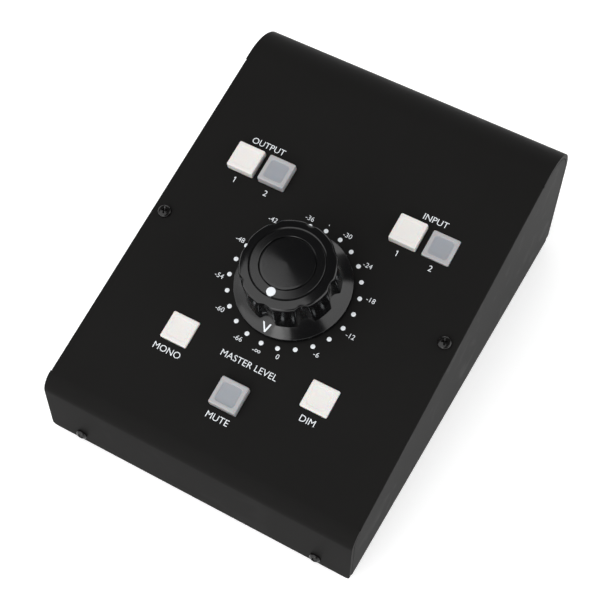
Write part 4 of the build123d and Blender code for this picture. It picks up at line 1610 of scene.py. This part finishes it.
@dataclass
class PushButton:
    """One square cap with a soft dish."""

    shop: Workshop
    station: Station
    half: float = 6.25
    corner: float = 0.45
    corner_growth: float = 0.2
    edge: float = 0.55
    edge_steps: int = 8
    side_end: float = 0.6
    depth: float = 9.5
    foot_chamfer: float = 0.1
    wall: float = 1.3
    roof: float = 2.0
    hollow_corner: float = 0.5
    dish: float = 4.45
    dish_corner: float = 1.4
    dish_slope: float = 0.7
    dish_steps: int = 8
    dish_start: float = 0.005
    floor: float = 2.0
    floor_corner: float = 1.2
    floor_fall: float = 0.03
    out: float = 3.35

    def loops(self) -> list[tuple[Loop, float]]:
        """Draws the cap from its hollow round to its dish.

        Returns:
            The loops in order, each with its share of dish tone.
        """
        top, inner, foot = self.out, self.half - self.wall, self.out - self.depth
        dish_depth = self.station.tone.value.dish_depth
        outside = [
            (inner, self.hollow_corner, top - self.roof),
            (inner, self.hollow_corner, foot),
            (self.half - self.foot_chamfer, self.corner, foot),
            (self.half, self.corner, foot + self.foot_chamfer),
            (self.half, self.corner, top - self.edge - self.side_end),
        ]
        for step in range(self.edge_steps):
            angle = math.radians(90 * step / (self.edge_steps - 1))
            inset = self.edge * (1 - math.cos(angle))
            height = top - self.edge + self.edge * math.sin(angle)
            outside.append((self.half - inset, self.corner + self.corner_growth, height))
        made = [(rounded_square(*size), 0.0) for size in outside]
        for step in range(self.dish_steps):
            share = step / (self.dish_steps - 1)
            ease = share * share * (3 - 2 * share)
            half = self.dish + self.dish_slope * (0.5 - share)
            height = top - self.dish_start - dish_depth * ease
            made.append((rounded_square(half, self.dish_corner, height), ease))
        floor = top - dish_depth - self.floor_fall
        made.append((rounded_square(self.floor, self.floor_corner, floor), 1.0))
        return made

    def build(self) -> None:
        """Builds the cap and puts it on its switch."""
        loops = self.loops()
        work = skin([loop for loop, _ in loops])
        layer = work.verts.layers.float.new("dish")
        work.verts.ensure_lookup_table()
        count = len(loops[0][0])
        for index, (_, share) in enumerate(loops):
            for vert in work.verts[index * count : (index + 1) * count]:
                vert[layer] = share
        name = f"{self.station.name}_cap"
        obj = shaped(work, f"{name}_skin", sharp=45)
        settle(obj, PANEL @ shift(self.station.x, self.station.y, -self.station.drop))
        self.shop.mount(obj, self.station.body, self.station.tone.value.slot, [name])


@dataclass
class ReturnSpring:
    """The coil spring under a cap's plunger, its foot on the board and its head on the collar."""

    shop: Workshop
    station: Station
    radius: float = 2.5
    wire: float = 0.4
    turns: float = 5.0
    foot: float = -19.95
    free_length: float = 5.4

    def build(self) -> None:
        """Winds the spring to the length its button's pose leaves it, and hides the imported spring."""
        x, y = self.station.x, self.station.y
        length = self.free_length - self.station.drop
        material = self.shop.wardrobe.wear(Slot.bright_steel)
        name = f"{self.station.name}_coil"
        obj = self.shop.winder.wind(name, self.turns, self.radius, length - self.wire, self.wire, material)
        crease(obj.data, 40)
        settle(obj, PANEL @ shift(x, y, self.foot + self.wire / 2))
        self.station.body
        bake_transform(obj)
        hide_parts(f"{self.station.name}_spring")
        log.info("%s: %d faces between case and button", name, len(obj.data.polygons))


# ---------------------------------------------------------------------------- the rear
@dataclass
class JackField:
    """The rear jacks with their metal linings and nuts."""

    shop: Workshop
    columns: tuple[float, ...] = (-42.75, -14.25, 14.25, 42.75)
    rows: tuple[float, ...] = (19.0, 42.0)
    sheet: float = 2.0
    body: float = 7.0
    body_corner: float = 1.0
    body_chamfer: float = 0.2
    body_depth: float = 26.0
    end_wall: float = 1.2
    bore: float = 3.25
    bushing: float = 4.75
    reach: float = 4.4
    grooves: int = 9
    groove_pitch: float = 0.62
    groove_depth: float = 0.22
    groove_start: float = 0.5
    mouth_chamfer: float = 0.3
    mouth_wall: float = 0.75
    mouth_depth: float = 0.35
    lining: float = 0.7
    lining_gap: float = 0.02
    lining_length: float = 8.0
    nut_flats: float = 12.7
    nut_low: float = 0.8
    nut_height: float = 2.8
    nut_chamfer: float = 0.3
    nut_sides: int = 72

    def build(self) -> None:
        """Builds the jacks, linings and nuts."""
        places = [(x, z, 0.0) for x in self.columns for z in self.rows]
        half = len(places) // 2
        for maker, name, slot, bank, nodes in (
            (self.jack, "input_jacks_skin", Slot.jack_plastic, places[:half], ["input_jacks"]),
            (self.jack, "output_jacks_skin", Slot.jack_plastic, places[half:], ["output_jacks"]),
            (self.sleeve, "jack_sleeves", Slot.nickel, places, []),
            (self.nut, "jack_nut_set", Slot.nickel, places, ["jack_nuts"]),
        ):
            obj = self.shop.repeater.placed(maker(), bank, self.shop.wardrobe.wear(slot))
            obj.name = name
            crease(obj.data, 35)
            self.shop.mount(settle(obj, REAR), "case", slot, nodes)

    def jack(self) -> bpy.types.Object:
        """One jack: a square body behind the wall and a grooved bushing with a blind bore.

        Returns:
            The jack, the wall's outer face at height 0.
        """
        back, inside, front = -self.sheet - self.body_depth, -self.sheet, self.reach
        block = [
            (self.body - self.body_chamfer, back),
            (self.body, back + self.body_chamfer),
            (self.body, inside - self.body_chamfer),
            (self.body - self.body_chamfer, inside),
        ]
        barrel = [(self.bushing, inside)]
        for groove in range(self.grooves):
            low = inside + self.groove_start + groove * self.groove_pitch
            barrel += [(self.bushing, low), (self.bushing - self.groove_depth, low + self.groove_pitch / 2)]
        barrel += [
            (self.bushing, front - self.mouth_chamfer),
            (self.bushing - 0.25, front),
            (self.bore + self.mouth_wall, front),
            (self.bore + self.mouth_wall, front - self.mouth_depth),
            (self.bore, front - self.mouth_depth),
            (self.bore, back + self.end_wall),
        ]
        loops = [rounded_square(half, self.body_corner, height) for half, height in block]
        loops += [rounded_square(radius, radius - 1e-4, height) for radius, height in barrel]
        return shaped(skin(loops), "jack")

    def sleeve(self) -> bpy.types.Object:
        """The metal lining of a jack's mouth.

        Returns:
            The lining, the wall's outer face at height 0.
        """
        low, high = self.reach - self.lining_length, self.reach - self.lining_gap
        outer, inner = self.bore + self.lining, self.bore + self.lining_gap
        profile = [
            (outer, low),
            (outer, high - 0.1),
            (outer - 0.1, high),
            (self.bore + 0.3, high),
            (inner, high - 0.3),
            (inner, low),
        ]
        return shaped(skin([ring(r, z, 36) for r, z in profile], joined=True), "sleeve")

    def hexagon(self, inset: float, limit: float, height: float) -> Loop:
        """A hexagon whose corners are cut by a circle.

        Args:
            inset: how far its flats lie inside the nut's own.
            limit: the circle's radius.
            height: where it lies along Z.

        Returns:
            Its points, anticlockwise seen from above.
        """
        points = []
        for k in range(self.nut_sides):
            angle = math.tau * k / self.nut_sides
            folded = (angle + math.pi / 6) % (math.pi / 3) - math.pi / 6
            radius = min((self.nut_flats / 2 - inset) / math.cos(folded), limit)
            points.append((radius * math.cos(angle), radius * math.sin(angle), height))
        return points

    def nut(self) -> bpy.types.Object:
        """A hexagon nut with rounded-off corners on its outer face.

        Returns:
            The nut, the wall's outer face at height 0.
        """
        low, high = self.nut_low, self.nut_low + self.nut_height
        flat, corner = self.nut_flats / 2, self.nut_flats / math.sqrt(3)
        hole = self.bushing + 0.02
        loops = [
            self.hexagon(0.0, corner - 0.6, low),
            self.hexagon(0.0, corner, low + self.nut_chamfer),
            self.hexagon(0.0, corner, high - 0.55),
            self.hexagon(0.0, corner - 0.45, high - 0.25),
            self.hexagon(0.0, flat + 0.05, high - 0.02),
            self.hexagon(0.25, flat - 0.2, high),
            ring(hole + 0.35, high, self.nut_sides),
            ring(hole, high - self.nut_chamfer, self.nut_sides),
            ring(hole, low, self.nut_sides),
        ]
        return shaped(skin(loops, joined=True), "nut", sharp=25)


# ---------------------------------------------------------------------------- the studio
@dataclass(frozen=True)
class SoftBox:
    """An area lamp: where it stands, its size in metres, its power in watts and what it faces."""

    name: str
    place: Point
    width: float
    height: float
    power: float
    target: Point = (0.0, 0.0, 0.04)

    def hang(self) -> None:
        """Adds the lamp to the scene."""
        data = bpy.data.lights.new(self.name, "AREA")
        data.shape = "RECTANGLE"
        data.size, data.size_y = self.width, self.height
        data.energy = self.power
        lamp = link(self.name, data)
        lamp.location = self.place
        lamp.rotation_euler = (Vector(self.target) - Vector(self.place)).to_track_quat("-Z", "Y").to_euler()


@dataclass
class Studio:
    """The pale floor, the soft light and the camera, in metres."""

    lamps: tuple[SoftBox, ...] = (
        SoftBox("key_box", (-0.42, -0.80, 0.92), 1.85, 1.92, 17.3),
        SoftBox("front_strip", (0.11, -1.37, 0.38), 0.56, 0.5, 2.0),
        SoftBox("right_box", (1.30, 0.22, 0.48), 1.8, 0.9, 8.7),
        SoftBox("rear_box", (-0.34, 1.25, 0.6), 1.2, 0.6, 3.0),
    )
    floor_reach: float = 6.0
    floor_tone: float = 0.86
    floor_roughness: float = 0.9
    floor_glow: float = 0.44
    ambient: float = 0.45
    ceiling: float = 0.06
    horizon: float = 0.05
    ceiling_start: float = 0.3
    lens: float = 84.947
    sensor: float = 36.0
    nearest: float = 0.01
    farthest: float = 20.0
    camera_place: Point = (0.16094805, -0.30749927, 0.54440266)
    camera_turn: tuple[float, ...] = (0.92545432, 0.28086543, 0.06910851, 0.24468947)

    def build(self) -> None:
        """Builds the studio."""
        self.floor()
        self.world()
        for lamp in self.lamps:
            lamp.hang()
        self.camera()
        bpy.context.scene.view_settings.view_transform = "Standard"

    def floor(self) -> None:
        """A wide pale floor that shows as white but keeps the soft shadow."""
        reach = self.floor_reach
        corners = [(-reach, -reach, 0), (reach, -reach, 0), (reach, reach, 0), (-reach, reach, 0)]
        mesh = bpy.data.meshes.new("floor")
        mesh.from_pydata(corners, [], [(0, 1, 2, 3)])
        material = bpy.data.materials.new("pale_floor")
        material.use_nodes = True
        mesh.materials.append(material)
        tree = material.node_tree
        sketch = NodeSketch(tree)
        paint = {
            "Base Color": rgba((self.floor_tone,) * 3),
            "Roughness": self.floor_roughness,
            "Specular IOR Level": 0.0,
        }
        sketch.feed(tree.nodes["Principled BSDF"], paint)
        rays = sketch.add("ShaderNodeLightPath").outputs
        seen = sketch.math("MAXIMUM", rays["Is Camera Ray"], rays["Is Glossy Ray"])
        seen = sketch.math("MAXIMUM", seen, rays["Is Transmission Ray"])
        strength = sketch.math("MULTIPLY", seen, self.floor_glow)
        glow = sketch.add("ShaderNodeEmission", {"Strength": strength}).outputs[0]
        matt = tree.nodes["Principled BSDF"].outputs[0]
        both = sketch.add("ShaderNodeAddShader", {0: matt, 1: glow}).outputs[0]
        sketch.feed(tree.nodes["Material Output"], {"Surface": both})
        link("floor", mesh)

    def world(self) -> None:
        """White to the camera and in reflections near the horizon, and a soft grey for fill."""
        world = bpy.data.worlds.new("studio")
        bpy.context.scene.world = world
        world.use_nodes = True
        sketch = NodeSketch(world.node_tree)
        rays = sketch.add("ShaderNodeLightPath").outputs
        place = sketch.add("ShaderNodeTexCoord").outputs["Generated"]
        height = sketch.add("ShaderNodeSeparateXYZ", {0: place}).outputs["Z"]
        overhead = {0: height, 1: self.horizon, 2: self.ceiling_start, 3: 1.0, 4: self.ceiling}
        ceiling = sketch.add("ShaderNodeMapRange", overhead).outputs[0]
        seen = rays["Is Camera Ray"]
        mirrored = sketch.math("MAXIMUM", rays["Is Glossy Ray"], rays["Is Transmission Ray"])
        shown = sketch.math("MAXIMUM", sketch.math("MULTIPLY", mirrored, ceiling), seen)
        lighting = sketch.math("SUBTRACT", 1.0, sketch.math("MAXIMUM", mirrored, seen))
        strength = sketch.math("ADD", shown, sketch.math("MULTIPLY", lighting, self.ambient))
        white = {"Color": (1, 1, 1, 1), "Strength": strength}
        sketch.feed(world.node_tree.nodes["Background"], white)

    def camera(self) -> None:
        """The camera, at the place found from the dial, the screws and the case's edges."""
        data = bpy.data.cameras.new("camera")
        data.lens = self.lens
        data.sensor_width = self.sensor
        data.clip_start, data.clip_end = self.nearest, self.farthest
        obj = link("camera", data)
        obj.location = self.camera_place
        obj.rotation_mode = "QUATERNION"
        obj.rotation_quaternion = self.camera_turn
        bpy.context.scene.camera = obj


# ---------------------------------------------------------------------------- all of it
def main() -> None:
    """Builds every sub-assembly in order."""
    logging.basicConfig(level=logging.INFO, format="%(name)s: %(message)s")
    shop = Workshop()
    shop.wardrobe.dress_cad_nodes()
    Studio().build()
    Case(shop).build()
    Legend(shop).build()
    Knob(shop).build()
    for station in STATIONS:
        PushButton(shop, station).build()
        ReturnSpring(shop, station).build()
    JackField(shop).build()


if __name__ == "__main__":
    main()
